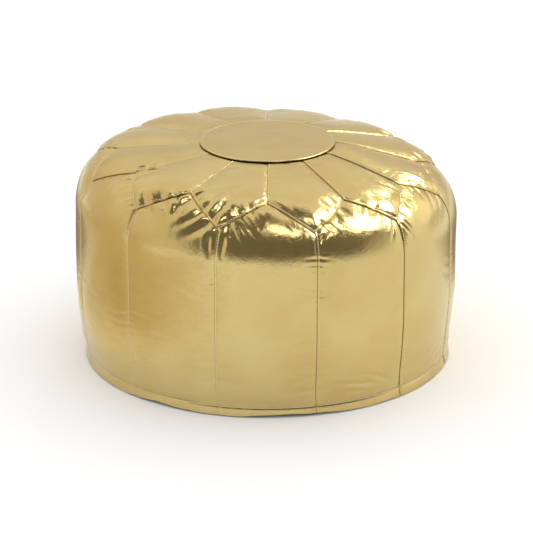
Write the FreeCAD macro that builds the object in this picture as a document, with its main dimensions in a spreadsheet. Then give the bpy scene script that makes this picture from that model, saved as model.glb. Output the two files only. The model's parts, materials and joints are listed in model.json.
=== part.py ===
"""Moroccan leather pouf, modelled in millimetres with +Z up and the floor at z = 0.

A sewn leather cover (crown disc, petals and side panels in overlapping layers) is closed below by two half
rounds of base cloth with a zip between them, and holds a liner bag full of fibre. The zip runs along X across a
recess in the base, and its slider and pull are the pieces that move.

Every leather layer is described by its offset from the skin, the smooth outer face of the side panels. The
offset is positive outwards. The petals lie one ply outside the side panels, the crown disc one ply outside them.
"""
import FreeCAD, Part
import math
import os
from types import SimpleNamespace

import Sketcher

DRIVING_SIZES = {
    # cover
    "overall_height": 358.5,
    "body_radius": 306.0,        # outer face of the side panels at the belly
    "shoulder_radius": 90.0,     # rounding between the top and the side
    "crown_slope": 8.4,          # degrees that the petals fall away from the crown disc
    "crown_radius": 109.0,
    "crown_tuck": 8.0,           # how far the petals reach in under the crown disc
    "belly_height": 150.0,       # where the side stops being upright and turns in towards the hem
    "hem_line_height": 16.0,     # stitch line above the floor
    "hem_inset": 10.0,           # how far the stitch line lies inside the belly
    "hem_flare": 2.5,            # how far the lip below the stitch line flares out again
    "hem_lift": 1.0,             # gap between the lip and the floor
    "panel_count": 12,
    "point_top_angle": 13.9,     # degrees round the shoulder to the upper corners of the zigzag
    "point_low_angle": 52.8,     # and to its lower corners
    "point_bow_radius": 200.0,   # of the slightly bowed edges between those corners
    "point_tuck": 10.0,          # how far the side panels reach up under the petals
    # leather and seams
    "leather": 1.5,
    "ply_gap": 0.2,
    "seam_gap": 0.3,
    "seam_fold": 3.0,            # width of the step down to the lap
    "seam_lap": 8.0,             # width of the lap under the next panel
    # thread
    "thread_width": 0.8,
    "thread_height": 0.5,
    "thread_gap": 0.15,
    "stitch_margin": 3.2,        # from a leather edge to its stitching
    # base
    "cloth": 1.2,
    "rim_gap": 0.4,
    "rim_height": 20.0,
    "foot_inset": 12.0,          # from the hem stitch line in to the edge of the flat foot ring
    "foot_width": 54.0,
    "foot_rise": 5.0,            # where the rim has turned upright
    "recess_slope": 30.0,
    "recess_height": 8.0,
    "zip_slot_half": 5.6,        # half the opening between the two base panels
    # zip
    "tape_end_margin": 15.0,
    "tape_width": 16.0,
    "tape_thickness": 0.6,
    "tape_gap_half": 1.7,
    "tape_seat_gap": 0.1,        # between the base cloth and the tape on top of it
    "tape_tail": 20.0,
    "tooth_pitch": 2.6,
    "tooth_length": 1.1,
    "tooth_height": 2.4,
    "tooth_outer": 2.9,
    "tooth_reach": 0.9,          # how far a tooth reaches past the centre line
    "tape_slot_gap": 0.1,
    "stop_length": 2.4,
    "stop_height": 3.0,
    # slider and pull
    "slider_length": 12.0,
    "slider_width": 9.2,
    "slider_rear_width": 8.2,
    "slider_plate": 1.2,
    "slider_clearance": 0.4,     # round the teeth
    "slider_slot_half": 0.7,     # half the slot that the tapes pass through
    "divider_half": 1.2,
    "divider_length": 4.5,
    "bridge_length": 9.0,
    "bridge_width": 1.6,
    "bridge_bar": 1.0,
    "bridge_opening": 2.4,
    "pull_length": 28.0,
    "pull_width": 8.0,
    "pull_thickness": 1.0,
    "pull_window_length": 9.0,
    "pull_window_clearance": 0.6,
    "pull_rest_angle": 8.0,
    # inside
    "liner_gap": 0.3,
    "liner_cloth": 1.0,
    "liner_zip_clearance": 1.0,
}

HALF = 0.5
FULL_TURN = 360.0


class Size:
    """A number together with the spreadsheet expression that gives it."""

    def __init__(self, value, text):
        self.value = value
        self.text = text

    def _joined(self, sign, other, value):
        return Size(value, f"({self.text} {sign} {other.text})")

    def __add__(self, other):
        other = as_size(other)
        return self._joined("+", other, self.value + other.value)

    def __sub__(self, other):
        other = as_size(other)
        return self._joined("-", other, self.value - other.value)

    def __mul__(self, other):
        other = as_size(other)
        return self._joined("*", other, self.value * other.value)

    def __truediv__(self, other):
        other = as_size(other)
        return self._joined("/", other, self.value / other.value)

    def __neg__(self):
        return self * -1.0


def as_size(item):
    """Return a Size for a Size or a plain number."""
    if isinstance(item, Size):
        return item
    return Size(float(item), repr(float(item)))


def sine(angle):
    """Sine of an angle in degrees."""
    return Size(math.sin(math.radians(angle.value)), f"sin({angle.text})")


def cosine(angle):
    """Cosine of an angle in degrees."""
    return Size(math.cos(math.radians(angle.value)), f"cos({angle.text})")


def root(size):
    """Square root."""
    return Size(math.sqrt(size.value), f"sqrt({size.text})")


def whole(size):
    """The whole number below a size."""
    return Size(math.floor(size.value), f"floor({size.text})")


def make_sheet(doc):
    """Put the driving sizes in a spreadsheet and return them by name."""
    sheet = doc.addObject("Spreadsheet::Sheet", "Sizes")
    for row, (name, value) in enumerate(DRIVING_SIZES.items(), start=1):
        sheet.set(f"A{row}", name)
        sheet.set(f"B{row}", str(value))
        sheet.setAlias(f"B{row}", name)
    doc.recompute()
    sizes = {name: Size(float(value), f"Sizes.{name}") for name, value in DRIVING_SIZES.items()}
    return SimpleNamespace(**sizes)


doc = FreeCAD.newDocument("MoroccanPouf")
s = make_sheet(doc)
ZERO = as_size(0.0)

# ---------------------------------------------------------------------------------------------------------
# The skin and the layers
# ---------------------------------------------------------------------------------------------------------

ply = s.leather + s.ply_gap
side_outer = ZERO
side_inner = -s.leather
side_lap_outer = -ply
side_lap_inner = -(ply + s.leather)
petal_outer = ply
petal_inner = s.ply_gap
petal_lap_outer = petal_inner - s.ply_gap
petal_lap_inner = petal_lap_outer - s.leather
crown_outer = ply * 2.0
liner_outer = side_lap_inner - s.liner_gap

tuck_radius = s.crown_radius - s.crown_tuck
centre_radius = s.body_radius - s.shoulder_radius
slope_ratio = sine(s.crown_slope) / cosine(s.crown_slope)
centre_height = (s.overall_height - (centre_radius - tuck_radius) * slope_ratio
                 - (s.shoulder_radius + crown_outer) / cosine(s.crown_slope))

hem_line_radius = s.body_radius - s.hem_inset
belly_drop = s.belly_height - s.hem_line_height
belly_radius = (belly_drop * belly_drop + s.hem_inset * s.hem_inset) / (s.hem_inset * 2.0)

outside = s.body_radius * 1.2

half_turn = as_size(FULL_TURN * HALF)
half_panel = half_turn / s.panel_count
degrees_per_mm = as_size(math.degrees(1.0)) / s.body_radius
panel_angle = half_panel * 2.0 - s.seam_gap * degrees_per_mm


def slope_point(radius, offset):
    """Point on the slope between the crown disc and the shoulder."""
    height = centre_height + (centre_radius - radius) * slope_ratio
    return radius, height + (s.shoulder_radius + offset) / cosine(s.crown_slope)


def shoulder_point(angle, offset):
    """Point on the shoulder, at an angle round it from straight up."""
    reach = s.shoulder_radius + offset
    return centre_radius + reach * sine(angle), centre_height + reach * cosine(angle)


def shoulder_foot(offset):
    """Where the shoulder becomes upright."""
    return s.body_radius + offset, centre_height


def belly_point(height, offset):
    """Point on the arc that turns in from the belly to the hem stitch line."""
    reach = belly_radius + offset
    drop = s.belly_height - height
    return s.body_radius - belly_radius + root(reach * reach - drop * drop), height


# ---------------------------------------------------------------------------------------------------------
# Sketching
# ---------------------------------------------------------------------------------------------------------

class Outline:
    """A closed outline of straight sides and arcs that is drawn into a sketch."""

    def __init__(self, start):
        self.points = [start]
        self.radii = []

    def line(self, *points):
        """Straight sides through the points."""
        for point in points:
            self.points.append(point)
            self.radii.append(None)
        return self

    def arc(self, point, radius, clockwise):
        """An arc of less than half a turn to the point."""
        self.points.append(point)
        self.radii.append((radius, clockwise))
        return self

    def draw(self, sketch):
        """Add the sides, joined end to end, with every corner and radius bound to the spreadsheet."""
        corners = [FreeCAD.Vector(as_size(x).value, as_size(y).value, 0.0) for x, y in self.points]
        sides = self.radii + [None]
        first = sketch.GeometryCount
        starts = []
        for number, side in enumerate(sides):
            begin = corners[number]
            end = corners[(number + 1) % len(corners)]
            if side is None:
                sketch.addGeometry(Part.LineSegment(begin, end))
                starts.append(1)
            else:
                radius, clockwise = side
                sketch.addGeometry(arc_between(begin, end, radius.value, clockwise))
                starts.append(2 if clockwise else 1)
        for number, side in enumerate(sides):
            following = (number + 1) % len(sides)
            sketch.addConstraint(Sketcher.Constraint("Coincident", first + number, 3 - starts[number],
                                                     first + following, starts[following]))
            x, y = self.points[number]
            bind(sketch, "DistanceX", first + number, starts[number], as_size(x))
            bind(sketch, "DistanceY", first + number, starts[number], as_size(y))
            if side is not None:
                index = sketch.addConstraint(Sketcher.Constraint("Radius", first + number, side[0].value))
                sketch.setExpression(f"Constraints[{index}]", side[0].text)


def bind(sketch, kind, geometry, end, size):
    """Set the distance of one end from the sketch's origin to a size."""
    index = sketch.addConstraint(Sketcher.Constraint(kind, -1, 1, geometry, end, size.value))
    sketch.setExpression(f"Constraints[{index}]", size.text)


def arc_between(begin, end, radius, clockwise):
    """The shorter arc of a given radius between two points."""
    chord = end - begin
    middle = (begin + end) * HALF
    rise = math.sqrt(max(radius ** 2 - (chord.Length * HALF) ** 2, 0.0))
    left = FreeCAD.Vector(-chord.y, chord.x, 0.0).normalize()
    centre = middle - left * rise if clockwise else middle + left * rise
    first, last = (end, begin) if clockwise else (begin, end)
    first_angle = math.atan2(first.y - centre.y, first.x - centre.x)
    last_angle = math.atan2(last.y - centre.y, last.x - centre.x)
    circle = Part.Circle(centre, FreeCAD.Vector(0, 0, 1), radius)
    return Part.ArcOfCircle(circle, first_angle, last_angle)


def draw_circle(sketch, radius, x=ZERO, y=ZERO):
    """Add a circle about a point of the sketch."""
    centre = FreeCAD.Vector(x.value, y.value, 0.0)
    number = sketch.addGeometry(Part.Circle(centre, FreeCAD.Vector(0, 0, 1), radius.value))
    bind(sketch, "DistanceX", number, 3, x)
    bind(sketch, "DistanceY", number, 3, y)
    index = sketch.addConstraint(Sketcher.Constraint("Radius", number, radius.value))
    sketch.setExpression(f"Constraints[{index}]", radius.text)


def new_body(label):
    """A body whose label is the name of the piece."""
    body = doc.addObject("PartDesign::Body", label)
    body.Label = label
    body.AllowCompound = True
    return body


def origin_item(body, role):
    """One of the body's own origin planes or axes."""
    return next(item for item in body.Origin.OriginFeatures if item.Role == role)


def new_sketch(body, name, role, height=None, turn=None):
    """A sketch on an origin plane, moved along its normal or turned about the upright axis."""
    sketch = body.newObject("Sketcher::SketchObject", f"{body.Label}_{name}")
    sketch.AttachmentSupport = [(origin_item(body, role), "")]
    sketch.MapMode = "FlatFace"
    if height is not None:
        sketch.setExpression("AttachmentOffset.Base.z", height.text)
    if turn is not None:
        upright = FreeCAD.Rotation(FreeCAD.Vector(0, 1, 0), turn.value)
        sketch.AttachmentOffset = FreeCAD.Placement(FreeCAD.Vector(), upright)
        sketch.setExpression("AttachmentOffset.Rotation.Angle", turn.text)
    return sketch


def add_feature(body, kind, name, sketch):
    """A PartDesign feature made from a sketch."""
    feature = body.newObject(f"PartDesign::{kind}", f"{body.Label}_{name}")
    feature.Profile = sketch
    return feature


def revolve(body, name, outline, angle=None, kind="Revolution"):
    """Revolve an outline about the upright axis, centred on the sketch plane or all the way round."""
    sketch = new_sketch(body, f"{name}_section", "XZ_Plane")
    outline.draw(sketch)
    feature = add_feature(body, kind, name, sketch)
    feature.ReferenceAxis = (sketch, ["V_Axis"])
    if angle is None:
        feature.Angle = FULL_TURN
    else:
        feature.Midplane = True
        feature.setExpression("Angle", angle.text)
    return feature


def revolve_from(body, name, outline, turn, forward):
    """Revolve an outline forwards from a turned sketch."""
    sketch = new_sketch(body, f"{name}_section", "XZ_Plane", turn=turn)
    outline.draw(sketch)
    feature = add_feature(body, "Revolution", name, sketch)
    feature.ReferenceAxis = (sketch, ["V_Axis"])
    feature.setExpression("Angle", forward.text)
    return feature


def pad(body, name, sketch, length, centred=False):
    """Pad a sketch along its normal."""
    feature = add_feature(body, "Pad", name, sketch)
    feature.Midplane = centred
    feature.setExpression("Length", length.text)
    return feature


def cut_through(body, name, sketch):
    """Cut a sketch through the whole body, both ways, and check that it removes something."""
    doc.recompute()
    before = body.Shape.Volume
    feature = add_feature(body, "Pocket", name, sketch)
    feature.Type = "ThroughAll"
    feature.Midplane = True
    doc.recompute()
    if body.Shape.Volume >= before:
        raise RuntimeError(f"{feature.Label} removes nothing")
    return feature


def repeat_round(body, features, count):
    """Repeat features evenly round the upright axis."""
    pattern = body.newObject("PartDesign::PolarPattern", f"{body.Label}_round")
    pattern.Originals = features
    pattern.Axis = (origin_item(body, "Z_Axis"), [""])
    pattern.Angle = FULL_TURN
    pattern.setExpression("Occurrences", count.text)
    body.Tip = pattern


def turn_about_z(item, angle):
    """Turn a finished piece about the upright axis."""
    item.Placement = FreeCAD.Placement(FreeCAD.Vector(), FreeCAD.Rotation(FreeCAD.Vector(0, 0, 1), angle.value))
    item.setExpression("Placement.Rotation.Angle", angle.text)


# ---------------------------------------------------------------------------------------------------------
# Leather cover
# ---------------------------------------------------------------------------------------------------------

def top_section(outer, inner):
    """Section of a layer over the slope and the shoulder, from under the crown disc to the upright side."""
    outline = Outline(slope_point(tuck_radius, inner))
    outline.line(slope_point(tuck_radius, outer), shoulder_point(s.crown_slope, outer))
    outline.arc(shoulder_foot(outer), s.shoulder_radius + outer, clockwise=True)
    outline.line(shoulder_foot(inner))
    outline.arc(shoulder_point(s.crown_slope, inner), s.shoulder_radius + inner, clockwise=False)
    return outline


def side_section(outer, inner):
    """Section of a side panel, from under the crown disc's edge over the shoulder down to the flared lip."""
    lip_radius = hem_line_radius + s.hem_flare
    outline = Outline(slope_point(tuck_radius, inner))
    outline.line(slope_point(tuck_radius, outer), shoulder_point(s.crown_slope, outer))
    outline.arc(shoulder_foot(outer), s.shoulder_radius + outer, clockwise=True)
    outline.line((s.body_radius + outer, s.belly_height))
    outline.arc(belly_point(s.hem_line_height, outer), belly_radius + outer, clockwise=True)
    outline.line((lip_radius + outer, s.hem_lift), (lip_radius + inner, s.hem_lift))
    outline.line(belly_point(s.hem_line_height, inner))
    outline.arc((s.body_radius + inner, s.belly_height), belly_radius + inner, clockwise=False)
    outline.line(shoulder_foot(inner))
    outline.arc(shoulder_point(s.crown_slope, inner), s.shoulder_radius + inner, clockwise=False)
    return outline


def low_side_section(outer, inner, top_angle, end_height):
    """Section of a strip on the side, from a point on the shoulder down to a height near the hem."""
    outline = Outline(shoulder_foot(inner))
    outline.arc(shoulder_point(top_angle, inner), s.shoulder_radius + inner, clockwise=False)
    outline.line(shoulder_point(top_angle, outer))
    outline.arc(shoulder_foot(outer), s.shoulder_radius + outer, clockwise=True)
    outline.line((s.body_radius + outer, s.belly_height))
    outline.arc(belly_point(end_height, outer), belly_radius + outer, clockwise=True)
    outline.line(belly_point(end_height, inner))
    outline.arc((s.body_radius + inner, s.belly_height), belly_radius + inner, clockwise=False)
    return outline


point_top_radius = shoulder_point(s.point_top_angle, petal_outer)[0]
point_low_radius = shoulder_point(s.point_low_angle, petal_outer)[0]


def zigzag_cut(low_in_middle, shift, far):
    """Plan of all that lies between the zigzag seam over one panel and a far line, inwards or outwards."""
    middle = (point_low_radius if low_in_middle else point_top_radius) - shift
    edge = (point_top_radius if low_in_middle else point_low_radius) - shift
    edge_x = edge * cosine(half_panel)
    edge_y = edge * sine(half_panel)
    width = edge_y * 1.5
    outline = Outline((far, width))
    outline.line((edge_x, width), (edge_x, edge_y))
    outline.arc((middle, ZERO), s.point_bow_radius, clockwise=True)
    outline.arc((edge_x, -edge_y), s.point_bow_radius, clockwise=True)
    outline.line((edge_x, -width), (far, -width))
    return outline


def crown_disc():
    """The round disc on top, lapped over the inner ends of the petals."""
    body = new_body("crown_disc")
    top_edge = slope_point(s.crown_radius, crown_outer)
    rim = slope_point(s.crown_radius, crown_outer - s.leather)
    tuck = slope_point(tuck_radius, crown_outer - s.leather)
    outline = Outline((ZERO, tuck[1]))
    outline.line(tuck, rim, top_edge, slope_point(tuck_radius, crown_outer), (ZERO, s.overall_height))
    revolve(body, "disc", outline)
    return body


def petal(number):
    """One petal, between two petal seams, with its point down in the middle."""
    body = new_body(f"petal_{number:02d}")
    revolve(body, "skin", top_section(petal_outer, petal_inner), angle=panel_angle)
    sketch = new_sketch(body, "point_plan", "XY_Plane")
    zigzag_cut(low_in_middle=True, shift=ZERO, far=outside).draw(sketch)
    cut_through(body, "point", sketch)
    lap_end = shoulder_point(s.crown_slope, petal_outer)[0] - s.point_tuck
    add_lap(body, lambda outer, inner: slope_strip(outer, inner, lap_end),
            petal_inner, petal_lap_outer, petal_lap_inner)
    turn_about_z(body, half_panel * (2.0 * number - 1.0))
    return body


def slope_strip(outer, inner, end_radius):
    """Section of a strip on the slope, from under the crown disc to a radius."""
    outline = Outline(slope_point(tuck_radius, inner))
    outline.line(slope_point(tuck_radius, outer), slope_point(end_radius, outer), slope_point(end_radius, inner))
    return outline


def side_panel(number):
    """One side panel, between two side seams, with its peak up in the middle."""
    body = new_body(f"side_panel_{number:02d}")
    revolve(body, "skin", side_section(side_outer, side_inner), angle=panel_angle)
    sketch = new_sketch(body, "peak_plan", "XY_Plane")
    zigzag_cut(low_in_middle=False, shift=s.point_tuck, far=ZERO).draw(sketch)
    cut_through(body, "peak", sketch)
    lap_height = s.rim_height + s.seam_lap
    add_lap(body, lambda outer, inner: low_side_section(outer, inner, s.point_low_angle, lap_height),
            side_inner, side_lap_outer, side_lap_inner)
    turn_about_z(body, half_panel * (2.0 * number))
    return body


def add_lap(body, section, skin_inner, lap_outer, lap_inner):
    """Step one edge of a panel down behind the skin and lay it under the next panel."""
    fold = s.seam_fold * degrees_per_mm
    lap = s.seam_lap * degrees_per_mm
    fold_start = panel_angle * HALF - fold
    revolve_from(body, "step", section(skin_inner, lap_inner), fold_start, fold)
    revolve_from(body, "lap", section(lap_outer, lap_inner), fold_start, fold + lap)


# ---------------------------------------------------------------------------------------------------------
# Thread
# ---------------------------------------------------------------------------------------------------------

def crown_thread():
    """Ring of stitching just inside the edge of the crown disc."""
    body = new_body("crown_thread")
    radius = s.crown_radius - s.stitch_margin
    low = crown_outer + s.thread_gap
    high = low + s.thread_height
    outline = Outline(slope_point(radius, low))
    outline.line(slope_point(radius + s.thread_width, low), slope_point(radius + s.thread_width, high),
                 slope_point(radius, high))
    revolve(body, "ring", outline)
    return body


def hem_thread():
    """Ring of stitching round the waist of the hem."""
    body = new_body("hem_thread")
    inside = hem_line_radius + s.thread_gap * 3.0
    outside = inside + s.thread_height
    low = s.hem_line_height - s.thread_width * HALF
    high = low + s.thread_width
    outline = Outline((inside, low))
    outline.line((outside, low), (outside, high), (inside, high))
    revolve(body, "ring", outline)
    return body


def petal_threads():
    """Twelve straight runs of stitching beside the petal seams."""
    body = new_body("petal_threads")
    sketch = new_sketch(body, "run_section", "XZ_Plane", height=-s.stitch_margin)
    low = petal_outer + s.thread_gap
    top_section(low, low + s.thread_height).draw(sketch)
    run = pad(body, "run", sketch, s.thread_width, centred=True)
    repeat_round(body, [run], s.panel_count)
    inner_plan = new_sketch(body, "inner_end_plan", "XY_Plane")
    draw_circle(inner_plan, s.crown_radius + s.stitch_margin)
    cut_through(body, "inner_end", inner_plan)
    outer_plan = new_sketch(body, "outer_end_plan", "XY_Plane")
    draw_circle(outer_plan, point_top_radius - s.stitch_margin)
    draw_circle(outer_plan, outside)
    cut_through(body, "outer_end", outer_plan)
    return body


def side_threads():
    """Twelve runs of stitching beside the side seams, from the zigzag to the hem stitching."""
    body = new_body("side_threads")
    sketch = new_sketch(body, "run_section", "XZ_Plane", height=-s.stitch_margin)
    low = side_outer + s.thread_gap
    end_height = s.hem_line_height + s.stitch_margin
    top_angle = s.point_low_angle + s.stitch_margin * 2.0 * degrees_per_mm
    low_side_section(low + s.thread_height, low, top_angle, end_height).draw(sketch)
    run = pad(body, "run", sketch, s.thread_width, centred=True)
    repeat_round(body, [run], s.panel_count)
    turn_about_z(body, half_panel)
    return body


def point_threads():
    """Ring of stitching along the zigzag seam, on the petals: a zigzag fence cut out of a thin shell."""
    low = petal_outer + s.thread_gap
    shell = new_body("point_thread_shell")
    revolve(shell, "shell", top_section(low + s.thread_height, low))
    fence = new_body("point_thread_fence")
    outer_x, outer_y, outer_middle = fence_edge(s.stitch_margin)
    inner_x, inner_y, inner_middle = fence_edge(s.stitch_margin + s.thread_width)
    outline = Outline((outer_x, outer_y))
    outline.arc((outer_middle, ZERO), s.point_bow_radius, clockwise=True)
    outline.arc((outer_x, -outer_y), s.point_bow_radius, clockwise=True)
    outline.line((inner_x, -inner_y))
    outline.arc((inner_middle, ZERO), s.point_bow_radius, clockwise=False)
    outline.arc((inner_x, inner_y), s.point_bow_radius, clockwise=False)
    sketch = new_sketch(fence, "plan", "XY_Plane", height=s.belly_height)
    outline.draw(sketch)
    chevron = pad(fence, "chevron", sketch, s.overall_height)
    repeat_round(fence, [chevron], s.panel_count)
    turn_about_z(fence, half_panel)
    thread = doc.addObject("Part::Common", "point_threads")
    thread.Label = "point_threads"
    thread.Base = shell
    thread.Tool = fence
    return thread


def fence_edge(shift):
    """Plan of one chevron of the zigzag, moved inwards: the corner at its edge, and its middle."""
    edge = point_top_radius - shift
    return edge * cosine(half_panel), edge * sine(half_panel), point_low_radius - shift


# ---------------------------------------------------------------------------------------------------------
# Base
# ---------------------------------------------------------------------------------------------------------

foot_outer = hem_line_radius - s.foot_inset
foot_inner = foot_outer - s.foot_width
recess_radius = foot_inner - s.recess_slope
rim_radius = belly_point(s.hem_line_height, side_inner)[0] - s.rim_gap

tape_length = (recess_radius - s.tape_end_margin) * 2.0
chain_length = tape_length - s.tape_tail * 2.0
chain_start = -(chain_length * HALF)
tape_bottom = s.recess_height + s.cloth + s.tape_seat_gap
chain_height = tape_bottom + s.tape_thickness * HALF
channel_half = s.tooth_height * HALF + s.slider_clearance
slider_bottom = chain_height - channel_half - s.slider_plate
slider_height = (channel_half + s.slider_plate) * 2.0
slider_place = chain_length * HALF


def base_panel(label, angle):
    """Half of the base: a recess round the zip, a flat foot ring and a rim turned up inside the hem."""
    body = new_body(label)
    top = s.recess_height + s.cloth
    rim_inner = rim_radius - s.cloth
    outline = Outline((ZERO, s.recess_height))
    outline.line((recess_radius, s.recess_height), (foot_inner, ZERO), (foot_outer, ZERO),
                 (rim_radius, s.foot_rise), (rim_radius, s.rim_height), (rim_inner, s.rim_height),
                 (rim_inner, s.foot_rise + s.cloth * HALF), (foot_outer - s.cloth * HALF, s.cloth),
                 (foot_inner + s.cloth * HALF, s.cloth), (recess_radius + s.cloth * HALF, top), (ZERO, top))
    revolve(body, "dish", outline, angle=half_turn)
    half_slot = tape_length * HALF + s.seam_gap
    edge = s.seam_gap * HALF
    slot = Outline((-s.zip_slot_half, -outside))
    slot.line((edge, -outside), (edge, -half_slot), (s.zip_slot_half, -half_slot),
              (s.zip_slot_half, half_slot), (edge, half_slot), (edge, outside), (-s.zip_slot_half, outside))
    sketch = new_sketch(body, "slot_plan", "XY_Plane")
    slot.draw(sketch)
    cut_through(body, "slot", sketch)
    turn_about_z(body, as_size(angle))
    return body


# ---------------------------------------------------------------------------------------------------------
# Zip
# ---------------------------------------------------------------------------------------------------------

def zip_tape(label, side):
    """One tape, lying on the base cloth beside the chain."""
    tape = doc.addObject("Part::Box", label)
    tape.Label = label
    near_edge = s.tape_gap_half if side > 0 else -(s.tape_gap_half + s.tape_width)
    tape.setExpression("Length", tape_length.text)
    tape.setExpression("Width", s.tape_width.text)
    tape.setExpression("Height", s.tape_thickness.text)
    tape.setExpression("Placement.Base.x", (-(tape_length * HALF)).text)
    tape.setExpression("Placement.Base.y", near_edge.text)
    tape.setExpression("Placement.Base.z", tape_bottom.text)
    return tape


def clamp_outline(side, outer, nose, half_height):
    """Section across the zip of a clamp with a slot that takes the edge of one tape."""
    slot_half = s.tape_thickness * HALF + s.tape_slot_gap
    slot_end = s.tape_gap_half - s.tape_slot_gap
    outline = Outline((outer * side, chain_height - half_height))
    outline.line((nose * side, chain_height - half_height), (nose * side, chain_height + half_height),
                 (outer * side, chain_height + half_height), (outer * side, chain_height + slot_half),
                 (slot_end * side, chain_height + slot_half), (slot_end * side, chain_height - slot_half),
                 (outer * side, chain_height - slot_half))
    return outline


def zip_teeth(label, side, shift):
    """One row of teeth, clamped on the edge of a tape and reaching past the middle line."""
    body = new_body(label)
    sketch = new_sketch(body, "section", "YZ_Plane", height=chain_start + shift)
    clamp_outline(side, s.tooth_outer, -s.tooth_reach, s.tooth_height * HALF).draw(sketch)
    tooth = pad(body, "tooth", sketch, s.tooth_length)
    doc.recompute()
    pattern = body.newObject("PartDesign::LinearPattern", f"{label}_row")
    pattern.Originals = [tooth]
    pattern.Direction = (origin_item(body, "X_Axis"), [""])
    count = whole(chain_length / s.tooth_pitch)
    pattern.setExpression("Occurrences", count.text)
    pattern.setExpression("Length", ((count - 1.0) * s.tooth_pitch).text)
    body.Tip = pattern
    return body


def zip_top_stops():
    """A pair of stops, one on each tape, in front of the slider when the zip is closed."""
    body = new_body("zip_top_stops")
    place = slider_place + s.slider_length * HALF + s.slider_clearance
    outer = s.tooth_outer + s.slider_clearance
    for name, side in (("front", -1.0), ("rear", 1.0)):
        sketch = new_sketch(body, f"{name}_section", "YZ_Plane", height=place)
        clamp_outline(side, outer, s.tape_slot_gap * 2.0, s.stop_height * HALF).draw(sketch)
        pad(body, name, sketch, s.stop_length)
    return body


def zip_bottom_stop():
    """The block that joins the two tapes at the far end of the chain."""
    body = new_body("zip_bottom_stop")
    place = chain_start - s.stop_length - s.slider_clearance
    outer = s.tooth_outer + s.slider_clearance
    half_height = s.stop_height * HALF
    slot_half = s.tape_thickness * HALF + s.tape_slot_gap
    slot_end = s.tape_gap_half - s.tape_slot_gap
    top = chain_height + half_height
    bottom = chain_height - half_height
    slot_top = chain_height + slot_half
    slot_bottom = chain_height - slot_half
    outline = Outline((-outer, bottom))
    outline.line((outer, bottom), (outer, slot_bottom), (slot_end, slot_bottom), (slot_end, slot_top),
                 (outer, slot_top), (outer, top), (-outer, top), (-outer, slot_top), (-slot_end, slot_top),
                 (-slot_end, slot_bottom), (-outer, slot_bottom))
    sketch = new_sketch(body, "section", "YZ_Plane", height=place)
    outline.draw(sketch)
    pad(body, "block", sketch, s.stop_length)
    return body


def zip_slider():
    """Two plates joined by a divider, with a bridge below for the pull."""
    body = new_body("zip_slider")
    half_length = s.slider_length * HALF
    front = s.slider_width * HALF
    rear = s.slider_rear_width * HALF
    plan = Outline((-half_length, -rear))
    plan.line((ZERO, -front), (half_length, -front), (half_length, front), (ZERO, front), (-half_length, rear))
    sketch = new_sketch(body, "plan", "XY_Plane", height=slider_bottom)
    plan.draw(sketch)
    pad(body, "block", sketch, slider_height)
    cut_slider_channel(body)
    add_divider(body)
    add_bridge(body)
    body.setExpression("Placement.Base.x", slider_place.text)
    return body


def cut_slider_channel(body):
    """Cut the way for the teeth, and the narrower slots for the tapes on both sides of it."""
    channel = s.tooth_outer + s.slider_clearance
    top = chain_height + channel_half
    bottom = chain_height - channel_half
    slot_top = chain_height + s.slider_slot_half
    slot_bottom = chain_height - s.slider_slot_half
    wide = s.slider_width
    section = Outline((-channel, bottom))
    section.line((channel, bottom), (channel, slot_bottom), (wide, slot_bottom), (wide, slot_top),
                 (channel, slot_top), (channel, top), (-channel, top), (-channel, slot_top),
                 (-wide, slot_top), (-wide, slot_bottom), (-channel, slot_bottom))
    sketch = new_sketch(body, "channel_section", "YZ_Plane")
    section.draw(sketch)
    cut_through(body, "channel", sketch)


def add_divider(body):
    """The wedge between the plates that parts the two rows."""
    front = s.slider_length * HALF
    back = front - s.divider_length
    shoulder = back + s.divider_half
    plan = Outline((back, ZERO))
    plan.line((shoulder, -s.divider_half), (front, -s.divider_half), (front, s.divider_half),
              (shoulder, s.divider_half))
    root_depth = s.slider_plate * HALF
    sketch = new_sketch(body, "divider_plan", "XY_Plane", height=chain_height - channel_half - root_depth)
    plan.draw(sketch)
    pad(body, "divider", sketch, (channel_half + root_depth) * 2.0)


def add_bridge(body):
    """The arch that holds the pull."""
    outer = s.bridge_length * HALF
    inner = outer - s.bridge_bar
    root_height = slider_bottom + s.slider_plate * HALF
    inside = slider_bottom - s.bridge_opening
    outline = Outline((-outer, root_height))
    outline.line((-outer, inside - s.bridge_bar), (outer, inside - s.bridge_bar), (outer, root_height),
                 (inner, root_height), (inner, inside), (-inner, inside), (-inner, root_height))
    sketch = new_sketch(body, "bridge_section", "XZ_Plane")
    outline.draw(sketch)
    pad(body, "bridge", sketch, s.bridge_width, centred=True)


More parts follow.
